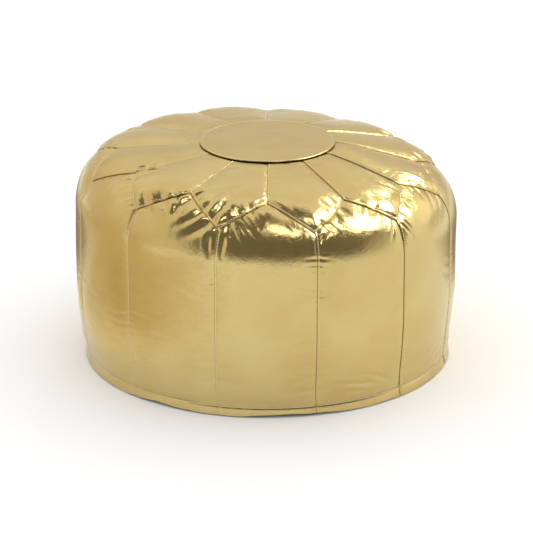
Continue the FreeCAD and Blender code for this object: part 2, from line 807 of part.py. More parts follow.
def zip_pull():
    """The flat tab whose cross bar turns inside the bridge, hanging a little below the chain."""
    body = new_body("zip_pull")
    half_bar = s.pull_thickness * HALF
    half_width = s.pull_width * HALF
    corner = half_width * HALF
    tip = -s.pull_length
    plan = Outline((half_bar, -half_width))
    plan.line((half_bar, half_width), (tip + corner, half_width))
    plan.arc((tip, half_width - corner), corner, clockwise=False)
    plan.line((tip, -(half_width - corner)))
    plan.arc((tip + corner, -half_width), corner, clockwise=False)
    sketch = new_sketch(body, "plan", "XY_Plane")
    plan.draw(sketch)
    pad(body, "tab", sketch, s.pull_thickness, centred=True)
    half_window = s.bridge_width * HALF + s.pull_window_clearance
    window = Outline((-half_bar, -half_window))
    window.line((-half_bar, half_window), (-(half_bar + s.pull_window_length), half_window),
                (-(half_bar + s.pull_window_length), -half_window))
    window_sketch = new_sketch(body, "window_plan", "XY_Plane")
    window.draw(window_sketch)
    cut_through(body, "window", window_sketch)
    tilt = -s.pull_rest_angle
    body.Placement = FreeCAD.Placement(FreeCAD.Vector(), FreeCAD.Rotation(FreeCAD.Vector(0, 1, 0), tilt.value))
    body.setExpression("Placement.Rotation.Angle", tilt.text)
    body.setExpression("Placement.Base.x", slider_place.text)
    body.setExpression("Placement.Base.z", (slider_bottom - s.bridge_opening * HALF).text)
    return body


# ---------------------------------------------------------------------------------------------------------
# Inside
# ---------------------------------------------------------------------------------------------------------

def inside_outline(depth):
    """Half section of the space inside the cover, drawn in by a depth."""
    offset = liner_outer - depth
    floor = slider_bottom + slider_height + s.liner_zip_clearance + depth
    foot = s.cloth + s.liner_gap + depth
    rim = rim_radius - s.cloth - s.liner_gap - depth
    top = slope_point(tuck_radius, crown_outer - s.leather)[1] - s.liner_gap - depth
    belly_low = s.rim_height + s.seam_lap
    outline = Outline((ZERO, floor))
    outline.line((recess_radius, floor), (foot_inner + s.cloth * 2.0, foot), (foot_outer - s.cloth * 2.0, foot),
                 (rim, s.foot_rise + s.cloth * 2.0), (rim, s.rim_height), belly_point(belly_low, offset))
    outline.arc((s.body_radius + offset, s.belly_height), belly_radius + offset, clockwise=False)
    outline.line(shoulder_foot(offset))
    outline.arc(shoulder_point(s.crown_slope, offset), s.shoulder_radius + offset, clockwise=False)
    outline.line(slope_point(tuck_radius, offset), (ZERO, top))
    return outline


def liner_bag():
    """The closed cloth bag round the filling."""
    body = new_body("liner_bag")
    revolve(body, "bag", inside_outline(ZERO))
    revolve(body, "hollow", inside_outline(s.liner_cloth), kind="Groove")
    return body


def filling():
    """The fibre, as one solid."""
    body = new_body("filling")
    revolve(body, "fibre", inside_outline(s.liner_cloth + s.liner_gap))
    return body


# ---------------------------------------------------------------------------------------------------------
# The whole pouf
# ---------------------------------------------------------------------------------------------------------

def build_pieces():
    """Make every piece and return them."""
    panel_numbers = range(1, int(s.panel_count.value) + 1)
    pieces = [crown_disc()]
    pieces += [petal(number) for number in panel_numbers]
    pieces += [side_panel(number) for number in panel_numbers]
    pieces += [crown_thread(), petal_threads(), point_threads(), side_threads(), hem_thread()]
    pieces += [base_panel("base_panel_front", -90.0), base_panel("base_panel_rear", 90.0)]
    pieces += [zip_tape("zip_tape_front", -1.0), zip_tape("zip_tape_rear", 1.0)]
    pieces += [zip_teeth("zip_teeth_front", -1.0, ZERO), zip_teeth("zip_teeth_rear", 1.0, s.tooth_pitch * HALF)]
    pieces += [zip_top_stops(), zip_bottom_stop(), zip_slider(), zip_pull()]
    pieces += [liner_bag(), filling()]
    return pieces


def check_and_write(pieces):
    """Stop if anything failed, then write each piece to its own file."""
    for item in doc.Objects:
        if "Invalid" in item.State or "Error" in item.State:
            raise RuntimeError(f"{item.Label} failed: {item.State}")
    for piece in pieces:
        if piece.Shape.isNull() or not piece.Shape.isValid():
            raise RuntimeError(f"{piece.Label} has no valid shape")
    os.makedirs("parts", exist_ok=True)
    for piece in pieces:
        piece.Shape.exportStep(f"parts/{piece.Label}.step")


pieces = build_pieces()
doc.recompute()
check_and_write(pieces)
print(f"{len(pieces)} pieces written")
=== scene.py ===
"""Looks for a stuffed leather pouf with a metallic gold finish, built round its CAD frame, in metres."""
import json
import math
from collections import namedtuple

import bmesh
import bpy
import numpy as np
from bpy.props import FloatProperty, FloatVectorProperty, IntProperty, PointerProperty
from bpy.types import Operator, Panel, PropertyGroup
from mathutils import Matrix, Vector


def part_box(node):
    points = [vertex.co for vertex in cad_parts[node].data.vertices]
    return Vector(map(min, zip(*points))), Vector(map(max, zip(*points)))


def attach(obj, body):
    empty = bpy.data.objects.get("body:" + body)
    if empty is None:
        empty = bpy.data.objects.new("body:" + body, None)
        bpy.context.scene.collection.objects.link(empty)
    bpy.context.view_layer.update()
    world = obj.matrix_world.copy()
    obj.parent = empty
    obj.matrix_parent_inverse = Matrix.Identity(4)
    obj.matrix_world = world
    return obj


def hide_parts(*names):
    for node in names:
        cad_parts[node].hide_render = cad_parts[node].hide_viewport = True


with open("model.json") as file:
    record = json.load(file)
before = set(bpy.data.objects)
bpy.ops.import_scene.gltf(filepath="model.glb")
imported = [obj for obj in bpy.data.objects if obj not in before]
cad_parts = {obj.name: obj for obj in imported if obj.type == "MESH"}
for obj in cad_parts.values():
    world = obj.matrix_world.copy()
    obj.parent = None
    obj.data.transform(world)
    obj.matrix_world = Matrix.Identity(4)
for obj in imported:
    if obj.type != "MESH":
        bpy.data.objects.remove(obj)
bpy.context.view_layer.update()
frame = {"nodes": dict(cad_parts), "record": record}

bl_info = {
    "name": "Gold leather pouf",
    "version": (1, 0, 0),
    "blender": (4, 5, 0),
    "location": "3D View > Sidebar > Pouf",
    "description": "Builds a stuffed leather pouf with lapped seams, stitches and a zipped cloth base",
    "category": "Add Mesh",
}

SEED = 12
MM = 0.001
COVER = "cover"


def length(name, default, description):
    """A length property in metres."""
    return FloatProperty(name=name, description=description, default=default, unit="LENGTH", precision=5)


def angle(name, degrees, description):
    """An angle property, with its default given in degrees."""
    return FloatProperty(name=name, description=description, default=math.radians(degrees), unit="ROTATION")


def colour(name, default, description):
    """A colour property."""
    return FloatVectorProperty(name=name, description=description, default=default, subtype="COLOR",
                               size=3, min=0.0, max=1.0)


class PoufSizes(PropertyGroup):
    """Sizes of the cover."""

    body_radius: length("Body radius", 0.306, "Outer face of the side panels at the belly")
    overall_height: length("Height", 0.3585, "Top of the crown disc above the floor")
    shoulder_radius: length("Shoulder radius", 0.090, "Rounding between the top and the side")
    crown_slope: angle("Crown slope", 8.4, "Fall of the petals away from the crown disc")
    crown_radius: length("Crown radius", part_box("crown_disc")[1].x, "Radius of the disc on top")
    crown_tuck: length("Crown tuck", 0.008, "How far the petals reach in under the crown disc")
    belly_height: length("Belly height", 0.150, "Where the side starts to turn in towards the hem")
    hem_line_height: length("Hem line height", 0.016, "Height of the hem stitching")
    hem_inset: length("Hem inset", 0.010, "How far the hem stitching lies inside the belly")
    hem_flare: length("Hem flare", 0.0025, "How far the lip flares out below the stitching")
    hem_lift: length("Hem lift", 0.001, "Gap between the lip and the floor")
    point_top_angle: angle("Upper corner angle", 13.9, "Upper corners of the zigzag, round the shoulder")
    point_low_angle: angle("Lower corner angle", 52.8, "Lower corners of the zigzag, round the shoulder")
    panel_count: IntProperty(name="Panels", description="Petals, and side panels", default=12, min=3)
    leather: length("Leather", 0.0015, "Thickness of the leather")
    ply_step: length("Ply step", 0.0017, "One layer of leather and the gap to the next")
    seam_tuck: length("Seam tuck", 0.004, "How far a panel's edge is modelled under its neighbour")
    stitch_margin: length("Stitch margin", 0.0032, "From a folded edge to its stitching")
    thread: length("Thread", 0.0012, "Diameter of the thread")
    petal_puff: length("Petal puff", 0.0042, "How far a petal bulges between its seams")
    side_puff: length("Side puff", 0.0022, "How far a side panel bulges between its seams")


class PoufColours(PropertyGroup):
    """Colours of the finishes."""

    gold: colour("Gold", (0.63, 0.50, 0.215), "Metallic foil on the leather")
    gold_deep: colour("Deep gold", (0.57, 0.43, 0.17), "Worn or shaded foil")
    thread: colour("Thread", (0.80, 0.74, 0.58), "Stitching")
    base: colour("Base cloth", (0.016, 0.015, 0.015), "Cloth under the pouf")
    brass: colour("Brass", (0.56, 0.42, 0.20), "Zip slider, pull and stops")


# ---------------------------------------------------------------------------------------------------------
# The form of the cover
# ---------------------------------------------------------------------------------------------------------

# zigzag seam and its pleats
SEAM_LEAN = 0.78             # sine of the angle between the zigzag seam and the section
SEAM_LEAN_ANGLE = 0.7        # lean of a pleat that crosses the zigzag seam squarely
SEAM_DRAW = 1.9 * MM         # how far the zigzag seam draws the leather in
SEAM_DRAW_REACH = 0.014
SEAM_GRIP = 0.55             # share of a pleat that a seam holds flat
SEAM_GRIP_WIDTH = 4.0 * MM
CROWN_FADE = 0.020           # how far from the crown and from the hem the slack fades out
HEM_FADE = 0.008

# panels
UNDER_STEP = 1.2 * MM        # how far an edge dips to run in under its neighbour
UNDER_STEP_AT_ZIGZAG = 0.2 * UNDER_STEP
UNDER_REACH = 3.5 * MM
PRESSED_EDGE = 0.6 * MM
FOLD_RADIUS = 1.3 * MM
FOLD_DROP = 0.9 * MM
FOLD_RIDGE = 0.3 * MM
STITCH_FURROW = 0.6 * MM
STITCH_FURROW_WIDTH = 1.0 * MM
HEM_FURROW = 0.8 * MM
HEM_FURROW_WIDTH = 1.5 * MM
# place and width in degrees to the right of the front, and height in millimetres
HEM_CREEPS = ((8.0, 13.0, 4.5), (-34.0, 8.0, 3.5), (140.0, 12.0, 3.0))
PUFF_REACH = 0.024
EDGE_CROWDING = 0.8          # how much closer the grid lines lie at a panel's edges
CROWN_DOME = 2.0 * MM
PETAL_MIDDLE = 1.6           # radius of a petal's middle, in radii of the crown disc

# columns and rows of the grids
PETAL_GRID = (90, 90)
SIDE_GRID = (96, 180)
CROWN_GRID = (180, 60)
BASE_GRID = (96, 60)
BAG_GRID = (120, 90)
CARD_GRID = (24, 16)

# stitches
THREAD_LIFT = 0.3 * MM
STITCH_SHARE = 0.52          # length of a stitch in shares of its pitch
CROWN_PITCH = 3.6 * MM
SEAM_PITCH = 4.2 * MM
SIDE_PITCH = 4.4 * MM
HEM_PITCH = 3.3 * MM

# slack leather
PLEAT_RIDGE = 0.45           # height of the ridges beside a pleat, in shares of its depth
SLACK_WAVE = 0.35 * MM       # height of the soft waves all over the leather
# waves round the pouf, waves down it for each metre, phase and share of the height
SLACK_WAVES = ((5.0, 21.0, 0.0, 1.0), (11.0, -37.0, 1.7, 1.0), (23.0, 31.0, 4.1, 0.7), (3.0, 57.0, 0.0, 0.6))
TILT = 0.045                 # how far the stuffed top leans down to the right, for each metre across
TILT_START = 0.09            # radius where the lean begins
TILT_REACH = 0.15            # and how much further out it is full
TILT_HEIGHT = 0.30           # height where the lean is full
SHIFT = 2.5 * MM             # how far the belly has sagged to the left
SHIFT_LOW = 0.05             # how far from the floor and from the top the sag fades out
SHIFT_HIGH = 0.10
BACK = math.pi / 2.0         # angle round the pouf of its back
SLACK_COLUMNS = 360
SLACK_ROWS = 84
SLACK_STEPS = 20
SLACK_CAP = 3.5 * MM         # the furthest that a place may settle
SEAM_HOLD = 2.4 * MM         # how far beside a seam the leather is held
EDGE_HOLD = 0.02             # share of the rows that is held at the crown and at the hem
JOINT_HOLD = 0.999           # where the sheet is held at its joint, in shares of half its width
LEATHER_QUALITY = 4
LEATHER_PRESSURE = 4.0
LEATHER_BENDING = 0.5
LEATHER_EASE = 0.002         # share by which the leather is larger than its form
GATHERED_EASE = 0.022        # and where it is gathered at the zigzag seam
GATHERED_WIDTH = 0.026
GATHERED_TURN = -38.0        # degrees to the right of the front where it is gathered most
GATHERED_REACH = 0.45
GATHERED_LEAST = 0.45        # share of the gathers that is left on the other side
SOFTEN_STEPS = 40
SETTLED = {}                 # what the leather has settled, once it is known

# base and inside
BASE_FOOT_INSET = 0.012
BASE_FOOT_WIDTH = 0.054
BASE_SLOPE_WIDTH = 0.030
BASE_RECESS = 0.008
BASE_RISE = 0.005
BASE_SLOT_HALF = 0.0056
BASE_CLOTH = 1.2 * MM
BASE_SEAM_HALF = 0.15 * MM   # half the gap between the two halves
BASE_SLACK = 0.5 * MM        # height of the waves in the recess
BASE_CROWDING = 0.95
SLOT_SPARE = 0.3 * MM        # room between the end of the slot and the zip tape
RECESS_SHARE = 0.5           # share of the grid's rows that the recess takes
BAG_FLOOR = 0.002
BAG_SIDE_SHARE = 0.7         # share of the grid's rows that a bag's top and side take
BAG_FOOT = 6.0 * MM          # how far a bag's bottom rises between its middle and its edge


# one pleat: its place, its lean away from straight down, its half length, half width and depth, and its bend
Pleat = namedtuple("Pleat", "turn down lean reach width depth bend")


def smooth_step(x):
    """Ease from 0 to 1."""
    x = np.clip(x, 0.0, 1.0)
    return x * x * (3.0 - 2.0 * x)


def bell(x, width):
    """A smooth bump of height 1 about 0."""
    return np.exp(-((x / width) ** 2))


def turned(angles):
    """Angles brought to between -pi and pi."""
    return np.mod(angles + math.pi, 2.0 * math.pi) - math.pi


def from_front(degrees):
    """Angle round the pouf of a place so many degrees to the right of its front."""
    return math.radians(degrees - 90.0)


def across_zigzag(form, first, last, count, reach, width, depth, rng):
    """Pleats that cross the zigzag seam between two places, in degrees to the right of the front."""
    made = []
    for share in (np.arange(count) + 0.5) / count:
        turn = from_front(first + (last - first) * share)
        across = abs(math.remainder(turn, 2.0 * form.half)) / form.half
        rising = 1.0 if math.remainder(turn, 2.0 * form.half) > 0.0 else -1.0
        lean = -rising * (SEAM_LEAN_ANGLE + rng.uniform(-0.25, 0.25))
        down = float(form.seam_height(across)) + rng.uniform(-8.0, 8.0) * MM
        made.append(Pleat(turn, down, lean, reach * rng.uniform(0.6, 1.3), width * rng.uniform(0.7, 1.3),
                          depth * rng.uniform(0.5, 1.2), rng.uniform(-7.0, 7.0)))
    return made


def beside(form, degrees, down, lean, count, spacing, reach, width, depth, rng):
    """Pleats side by side about one place; the spacing is across them."""
    made = []
    lean = math.radians(lean)
    for step in np.arange(count) - (count - 1) / 2.0:
        offset = step * spacing * rng.uniform(0.85, 1.15)
        turn = from_front(degrees) + offset * math.cos(lean) / float(form.section(down)[0])
        made.append(Pleat(turn, down - offset * math.sin(lean), lean + rng.uniform(-0.08, 0.08),
                          reach * rng.uniform(0.7, 1.2), width, depth * rng.uniform(0.7, 1.2),
                          rng.uniform(-3.0, 3.0)))
    return made


def front_pleats(form, rng):
    """The pleats that are seen from the front. Lengths in the two lists are in millimetres."""
    top = form.top_corner
    low = form.low_corner
    hem = form.belly_end
    made = []

    # first and last place, count, reach, width and depth
    crossing = (
        (-29.5, -16.0, 4, 46.0, 6.2, 3.7),
        (-13.5, -3.0, 3, 27.0, 4.6, 2.0),
        (-60.0, -47.0, 2, 20.0, 5.0, 1.8),
        (-44.0, -31.0, 3, 26.0, 5.4, 2.4),
        (17.0, 28.0, 3, 17.0, 4.6, 1.5),
        (32.0, 43.0, 3, 20.0, 5.0, 1.6),
        (46.0, 59.0, 2, 18.0, 4.6, 1.6),
        (62.0, 74.0, 3, 20.0, 4.4, 2.2))
    for first, last, count, reach, width, depth in crossing:
        made += across_zigzag(form, first, last, count, reach * MM, width * MM, depth * MM, rng)

    # place, line that the distance down is measured from, distance, lean, count, spacing, reach, width, depth
    groups = (
        (-27.5, top, -24.0, -18.0, 2, 9.0, 14.0, 3.2, 2.2),
        (-57.5, top, -26.0, -38.0, 2, 10.0, 18.0, 3.0, 2.0),
        (-66.0, top, -42.0, -12.0, 5, 9.0, 40.0, 3.0, 0.9),
        (-48.0, low, -12.0, -50.0, 3, 9.0, 12.0, 2.8, 1.3),
        (53.0, top, -34.0, 14.0, 5, 6.5, 32.0, 2.4, 0.8),
        (69.0, top, 14.0, 22.0, 2, 9.0, 15.0, 2.4, 1.7),
        (2.6, top, 6.0, 52.0, 1, 0.0, 10.0, 3.2, 2.4),
        (-3.2, top, 2.0, -52.0, 1, 0.0, 10.0, 3.0, 1.8),
        (17.2, low, 8.0, -32.0, 1, 0.0, 12.0, 3.6, 3.0),
        (-17.2, low, 24.0, 8.0, 1, 0.0, 15.0, 3.8, 1.9),
        (-12.8, low, 24.0, -8.0, 1, 0.0, 15.0, 3.8, 1.9),
        (15.0, low, 50.0, 84.0, 3, 9.0, 15.0, 2.6, 0.6),
        (-8.0, low, 2.0, 35.0, 3, 7.0, 13.0, 1.8, 0.9),
        (48.0, low, 14.0, 30.0, 2, 7.0, 11.0, 2.4, 1.4),
        (42.0, low, 10.0, -30.0, 1, 0.0, 12.0, 2.6, 1.6),
        (28.0, hem, -24.0, 78.0, 2, 12.0, 22.0, 4.0, 1.2),
        (36.0, hem, -34.0, 60.0, 1, 0.0, 18.0, 3.4, 1.6))
    for degrees, line, below, lean, count, *lengths in groups:
        made += beside(form, degrees, line + below * MM, lean, count, *(value * MM for value in lengths), rng)
    return made


def round_pleats(form, rng):
    """Pleats at the seams all the way round, where the slack of the leather gathers."""
    made = []
    for degrees in np.arange(75.0, 285.0, 15.0):
        count = int(rng.integers(1, 5))
        made += across_zigzag(form, degrees + 1.5, degrees + 13.5, count, 22.0 * MM, 5.0 * MM, 2.0 * MM, rng)
    for degrees in np.arange(15.0, 375.0, 30.0):
        for _ in range(5):
            down = rng.uniform(form.low_corner + 35.0 * MM, form.belly_end - 20.0 * MM)
            made += beside(form, degrees + rng.uniform(-1.0, 1.0), down, rng.uniform(70.0, 110.0),
                           int(rng.integers(1, 4)), 8.0 * MM, 13.0 * MM, 2.4 * MM, 0.55 * MM, rng)
    for degrees in np.arange(7.5, 367.5, 15.0):
        made += beside(form, degrees, form.belly_end - rng.uniform(10.0, 18.0) * MM, rng.uniform(-30.0, 30.0),
                       int(rng.integers(1, 4)), 14.0 * MM, 9.0 * MM, 3.0 * MM, 0.5 * MM, rng)
    return made


class CoverForm:
    """The stuffed form before its panels bulge. A place on it is an angle round it and a distance down its
    section, measured from the middle of the top."""

    def __init__(self, sizes):
        self.sizes = sizes
        self.half = math.pi / sizes.panel_count
        slope = sizes.crown_slope
        centre_r = sizes.body_radius - sizes.shoulder_radius
        tuck_r = sizes.crown_radius - sizes.crown_tuck
        crown_lift = 2.0 * sizes.ply_step
        self.centre = (centre_r, sizes.overall_height - (centre_r - tuck_r) * math.tan(slope)
                       - (sizes.shoulder_radius + crown_lift) / math.cos(slope))
        drop = sizes.belly_height - sizes.hem_line_height
        self.belly_radius = (drop ** 2 + sizes.hem_inset ** 2) / (2.0 * sizes.hem_inset)
        self.belly_turn = math.asin(drop / self.belly_radius)
        tangent_r = centre_r + sizes.shoulder_radius * math.sin(slope)
        self.slope_end = tangent_r / math.cos(slope)
        self.shoulder_end = self.slope_end + (math.pi / 2.0 - slope) * sizes.shoulder_radius
        self.upright_end = self.shoulder_end + self.centre[1] - sizes.belly_height
        self.belly_end = self.upright_end + self.belly_turn * self.belly_radius
        lip_drop = sizes.hem_line_height - sizes.hem_lift
        self.lip_turn = math.atan2(sizes.hem_flare, lip_drop)
        self.end = self.belly_end + math.hypot(sizes.hem_flare, lip_drop)
        self.top_corner = self.on_shoulder(sizes.point_top_angle)
        self.low_corner = self.on_shoulder(sizes.point_low_angle)
        self.crown_edge = sizes.crown_radius / math.cos(slope)
        rng = np.random.default_rng(SEED)
        self.pleats = front_pleats(self, rng) + round_pleats(self, rng)

    def on_shoulder(self, turn):
        """Distance down the section of an angle round the shoulder."""
        return self.slope_end + (turn - self.sizes.crown_slope) * self.sizes.shoulder_radius

    def section(self, down):
        """Radius, height and outward normal at distances down the section."""
        sizes = self.sizes
        slope = sizes.crown_slope
        down = np.asarray(down, float)
        on_slope = np.minimum(down, self.slope_end)
        around = np.clip(down - self.slope_end, 0.0, self.shoulder_end - self.slope_end)
        around = around / sizes.shoulder_radius
        upright = np.clip(down - self.shoulder_end, 0.0, self.upright_end - self.shoulder_end)
        belly = np.clip(down - self.upright_end, 0.0, self.belly_end - self.upright_end) / self.belly_radius
        lip = np.maximum(down - self.belly_end, 0.0)
        turn = slope + around
        radius = (on_slope - self.slope_end) * math.cos(slope) + self.centre[0]
        radius = radius + sizes.shoulder_radius * np.sin(turn)
        radius = radius - self.belly_radius * (1.0 - np.cos(belly)) + lip * math.sin(self.lip_turn)
        height = self.centre[1] + sizes.shoulder_radius * np.cos(turn)
        height = height + (self.slope_end - on_slope) * math.sin(slope)
        height = height - upright - self.belly_radius * np.sin(belly) - lip * math.cos(self.lip_turn)
        flare = (self.belly_turn + self.lip_turn) * smooth_step(lip / (3.0 * MM))
        lean = math.pi / 2.0 - turn - belly + flare
        return radius, height, np.cos(lean), np.sin(lean)

    def seam_height(self, across):
        """Distance down to the zigzag seam; across is 0 on a petal seam and 1 on a side seam."""
        return self.top_corner + (self.low_corner - self.top_corner) * across

    def place(self, turn, down, lift):
        """Points on the form, lifted along its normal, with the lean and the sag of the stuffed cover."""
        radius, height, out, up = self.section(down)
        reach = radius + out * lift
        x = reach * np.cos(turn)
        height = height + up * lift
        below_top = self.sizes.overall_height - height
        tilted = smooth_step((radius - TILT_START) / TILT_REACH) * smooth_step(height / TILT_HEIGHT)
        shifted = smooth_step(height / SHIFT_LOW) * smooth_step(below_top / SHIFT_HIGH)
        return np.stack([x - SHIFT * shifted, reach * np.sin(turn), height - TILT * x * tilted], axis=-1)

    def relief(self, turn, down):
        """Height of the pleats and of the soft waves in the leather."""
        turn, down = np.broadcast_arrays(turn, down)
        radius = self.section(down)[0]
        height = np.zeros(turn.shape)
        for pleat in self.pleats:
            aside = radius * turned(turn - pleat.turn)
            below = down - pleat.down
            along = below * math.cos(pleat.lean) + aside * math.sin(pleat.lean)
            across = aside * math.cos(pleat.lean) - below * math.sin(pleat.lean) + pleat.bend * along ** 2
            ridges = PLEAT_RIDGE * bell(np.abs(across) - 2.0 * pleat.width, pleat.width)
            height += pleat.depth * (-bell(across, pleat.width) + ridges) * bell(along, pleat.reach)
        waves = sum(share * np.sin(around * turn + along * down + phase)
                    for around, along, phase, share in SLACK_WAVES)
        return height + SLACK_WAVE * waves

    def to_seams(self, turn, down):
        """Distances to the nearest upright seam and to the zigzag seam, the second negative above it."""
        across = np.abs(np.mod(turn + self.half, 2.0 * self.half) - self.half) / self.half
        seam = (down - self.seam_height(across)) * SEAM_LEAN
        radius = self.section(down)[0]
        upright = np.where(seam < 0.0, across, 1.0 - across) * self.half * radius
        return upright, seam

    def settled(self, turn, down):
        """How far the leather has settled over its filling."""
        if not SETTLED:
            SETTLED["moved"] = settle_leather(self)
        moved = SETTLED["moved"]
        rows, columns = moved.shape[0] - 1, moved.shape[1] - 1
        column = np.mod(turn - BACK, 2.0 * math.pi) / (2.0 * math.pi) * columns
        row = np.clip((down - self.crown_edge) / (self.belly_end - self.crown_edge), 0.0, 1.0) * rows
        left = np.minimum(column.astype(int), columns - 1)
        upper = np.minimum(row.astype(int), rows - 1)
        x = column - left
        y = row - upper
        above = moved[upper, left] * (1.0 - x) + moved[upper, left + 1] * x
        below = moved[upper + 1, left] * (1.0 - x) + moved[upper + 1, left + 1] * x
        return above * (1.0 - y) + below * y

    def drape(self, turn, down, lift):
        """Points of the stuffed cover: the form with its slack taken up."""
        turn, down = np.broadcast_arrays(turn, down)
        fade = smooth_step((down - self.crown_edge) / CROWN_FADE)
        fade = fade * smooth_step((self.belly_end - down) / HEM_FADE)
        free = 1.0 - SEAM_GRIP * bell(np.minimum(*np.abs(self.to_seams(turn, down))), SEAM_GRIP_WIDTH)
        slack = free * self.relief(turn, down) + self.settled(turn, down)
        return self.place(turn, down, lift + fade * slack)


def settle_leather(form):
    """Let the leather settle over its filling as cloth held at its seams, and measure how far each place has
    moved outwards. Rows run down the section and columns run round from the back."""

    def start(across, down, extra):
        turn = BACK + (across + 1.0) * math.pi
        distance = form.crown_edge + (form.belly_end - form.crown_edge) * down
        return form.place(turn, distance, form.relief(turn, distance) + extra)

    bm = bmesh.new()
    bmesh.ops.create_grid(bm, x_segments=SLACK_COLUMNS, y_segments=SLACK_ROWS, size=1.0)
    flat = np.array([v.co for v in bm.verts])
    across = flat[:, 0]
    down = (1.0 - flat[:, 1]) / 2.0
    before = start(across, down, 0.0)
    outwards = (start(across, down, MM) - before) / MM
    for vertex, point in zip(bm.verts, before):
        vertex.co = point
    piece = finish_mesh(bm, "settling_leather")
    turn = BACK + (across + 1.0) * math.pi
    upright, seam = form.to_seams(turn, form.crown_edge + (form.belly_end - form.crown_edge) * down)
    held = np.minimum(upright, np.abs(seam)) < SEAM_HOLD
    held |= (down < EDGE_HOLD) | (down > 1.0 - EDGE_HOLD) | (np.abs(across) > JOINT_HOLD)
    pins = piece.vertex_groups.new(name="held")
    pins.add([int(index) for index in np.flatnonzero(held)], 1.0, "REPLACE")
    most = bell(turned(turn - from_front(GATHERED_TURN)), GATHERED_REACH)
    gathered = bell(seam, GATHERED_WIDTH) * (GATHERED_LEAST + (1.0 - GATHERED_LEAST) * most)
    slack = piece.vertex_groups.new(name="slack")
    for index, weight in enumerate(gathered):
        slack.add([index], float(weight), "REPLACE")
    cloth = piece.modifiers.new("Leather", "CLOTH")
    cloth.settings.quality = LEATHER_QUALITY
    cloth.settings.vertex_group_mass = pins.name
    cloth.settings.use_pressure = True
    cloth.settings.uniform_pressure_force = LEATHER_PRESSURE
    cloth.settings.vertex_group_shrink = slack.name
    cloth.settings.shrink_min = -LEATHER_EASE
    cloth.settings.shrink_max = -GATHERED_EASE
    cloth.settings.bending_stiffness = LEATHER_BENDING
    cloth.settings.effector_weights.gravity = 0.0
    scene = bpy.context.scene
    for step in range(1, SLACK_STEPS + 1):
        scene.frame_set(step)
    worn = piece.evaluated_get(bpy.context.evaluated_depsgraph_get()).to_mesh()
    after = np.array([v.co for v in worn.vertices])
    scene.frame_set(1)
    mesh = piece.data
    bpy.data.objects.remove(piece)
    bpy.data.meshes.remove(mesh)
    moved = ((after - before) * outwards).sum(axis=1).reshape(SLACK_ROWS + 1, SLACK_COLUMNS + 1)[::-1]
    return np.clip(moved - soften(moved), -SLACK_CAP, SLACK_CAP)


def soften(field):
    """Even out a field that closes on itself along its rows."""
    even = field[:, :-1]
    for _ in range(SOFTEN_STEPS):
        even = (np.roll(even, 1, axis=1) + 2.0 * even + np.roll(even, -1, axis=1)) / 4.0
        even = np.concatenate([even[:1], (even[:-2] + 2.0 * even[1:-1] + even[2:]) / 4.0, even[-1:]])
    return np.concatenate([even, even[:, :1]], axis=1)


# ---------------------------------------------------------------------------------------------------------
# Panels
# ---------------------------------------------------------------------------------------------------------

def spread(x, ends):
    """Spread grid lines from -1 to 1 so that they lie closer together towards the ends."""
    return (1.0 - ends) * x + ends * np.sin(x * math.pi / 2.0)


def over_edge(distance, margin):
    """Relief of a folded edge that lies on its neighbour: rounded edge, ridge and stitch furrow."""
    near = np.clip(distance / FOLD_RADIUS, 0.0, 1.0)
    rounding = -FOLD_DROP * (1.0 - np.sqrt(near * (2.0 - near)))
    ridge = FOLD_RIDGE * bell(distance - 0.45 * margin, 0.35 * margin)
    furrow = -STITCH_FURROW * bell(distance - margin, STITCH_FURROW_WIDTH)
    return rounding + ridge + furrow


def under_edge(distance, step):
    """Relief of an edge that runs in under its neighbour."""
    return -step * np.exp(-np.clip(distance, 0.0, None) / UNDER_REACH)


def drawn_in(distance):
    """How far the zigzag seam draws the leather in beside it."""
    return SEAM_DRAW * np.exp(-np.clip(distance, 0.0, None) / SEAM_DRAW_REACH)


def bent_grid(columns, rows, place):
    """A grid bent into place; place takes arrays of across (-1 to 1) and down (0 to 1)."""
    bm = bmesh.new()
    bmesh.ops.create_grid(bm, x_segments=columns, y_segments=rows, size=1.0)
    flat = np.array([v.co for v in bm.verts])
    points = place(flat[:, 0], (1.0 - flat[:, 1]) / 2.0)
    for vertex, point in zip(bm.verts, points):
        vertex.co = point
    return bm


def grid_piece(name, columns, rows, place):
    """An open sheet made of a bent grid."""
    return finish_mesh(bent_grid(columns, rows, place), name)


def closed_grid_piece(name, columns, rows, place):
    """A grid that wraps round upon itself and is drawn to a point at its ends."""
    bm = bent_grid(columns, rows, place)
    bmesh.ops.remove_doubles(bm, verts=bm.verts, dist=1e-6)
    bmesh.ops.recalc_face_normals(bm, faces=bm.faces)
    highest = max(bm.verts, key=lambda vertex: vertex.co.z)
    if highest.normal.z < 0.0:
        bmesh.ops.reverse_faces(bm, faces=bm.faces)
    return finish_mesh(bm, name)


def finish_mesh(bm, name, smooth=True):
    """Turn a bmesh into an object, with smooth faces unless told otherwise."""
    mesh = bpy.data.meshes.new(name)
    bm.to_mesh(mesh)
    bm.free()
    for polygon in mesh.polygons:
        polygon.use_smooth = smooth
    piece = bpy.data.objects.new(name, mesh)
    bpy.context.scene.collection.objects.link(piece)
    return piece


def add_thickness(piece, thickness):
    """Give an open sheet its thickness, inwards."""
    solid = piece.modifiers.new("Thickness", "SOLIDIFY")
    solid.thickness = thickness
    solid.offset = -1.0
    solid.use_even_offset = False


def settle(piece, slot, *nodes):
    """Ride on the cover and stand for CAD nodes; slot is not used."""
    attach(piece, COVER)
    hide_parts(*nodes)


def pad(piece, thickness, slot, node):
    """Give a soft piece its thickness and its place in the frame; slot is not used."""
    if thickness:
        add_thickness(piece, thickness)
    settle(piece, slot, node)
    return piece


def along_grid(down, start, end):
    """Distances between a start and an end, closer together towards both."""
    return start + (end - start) * (spread(down * 2.0 - 1.0, EDGE_CROWDING) + 1.0) / 2.0


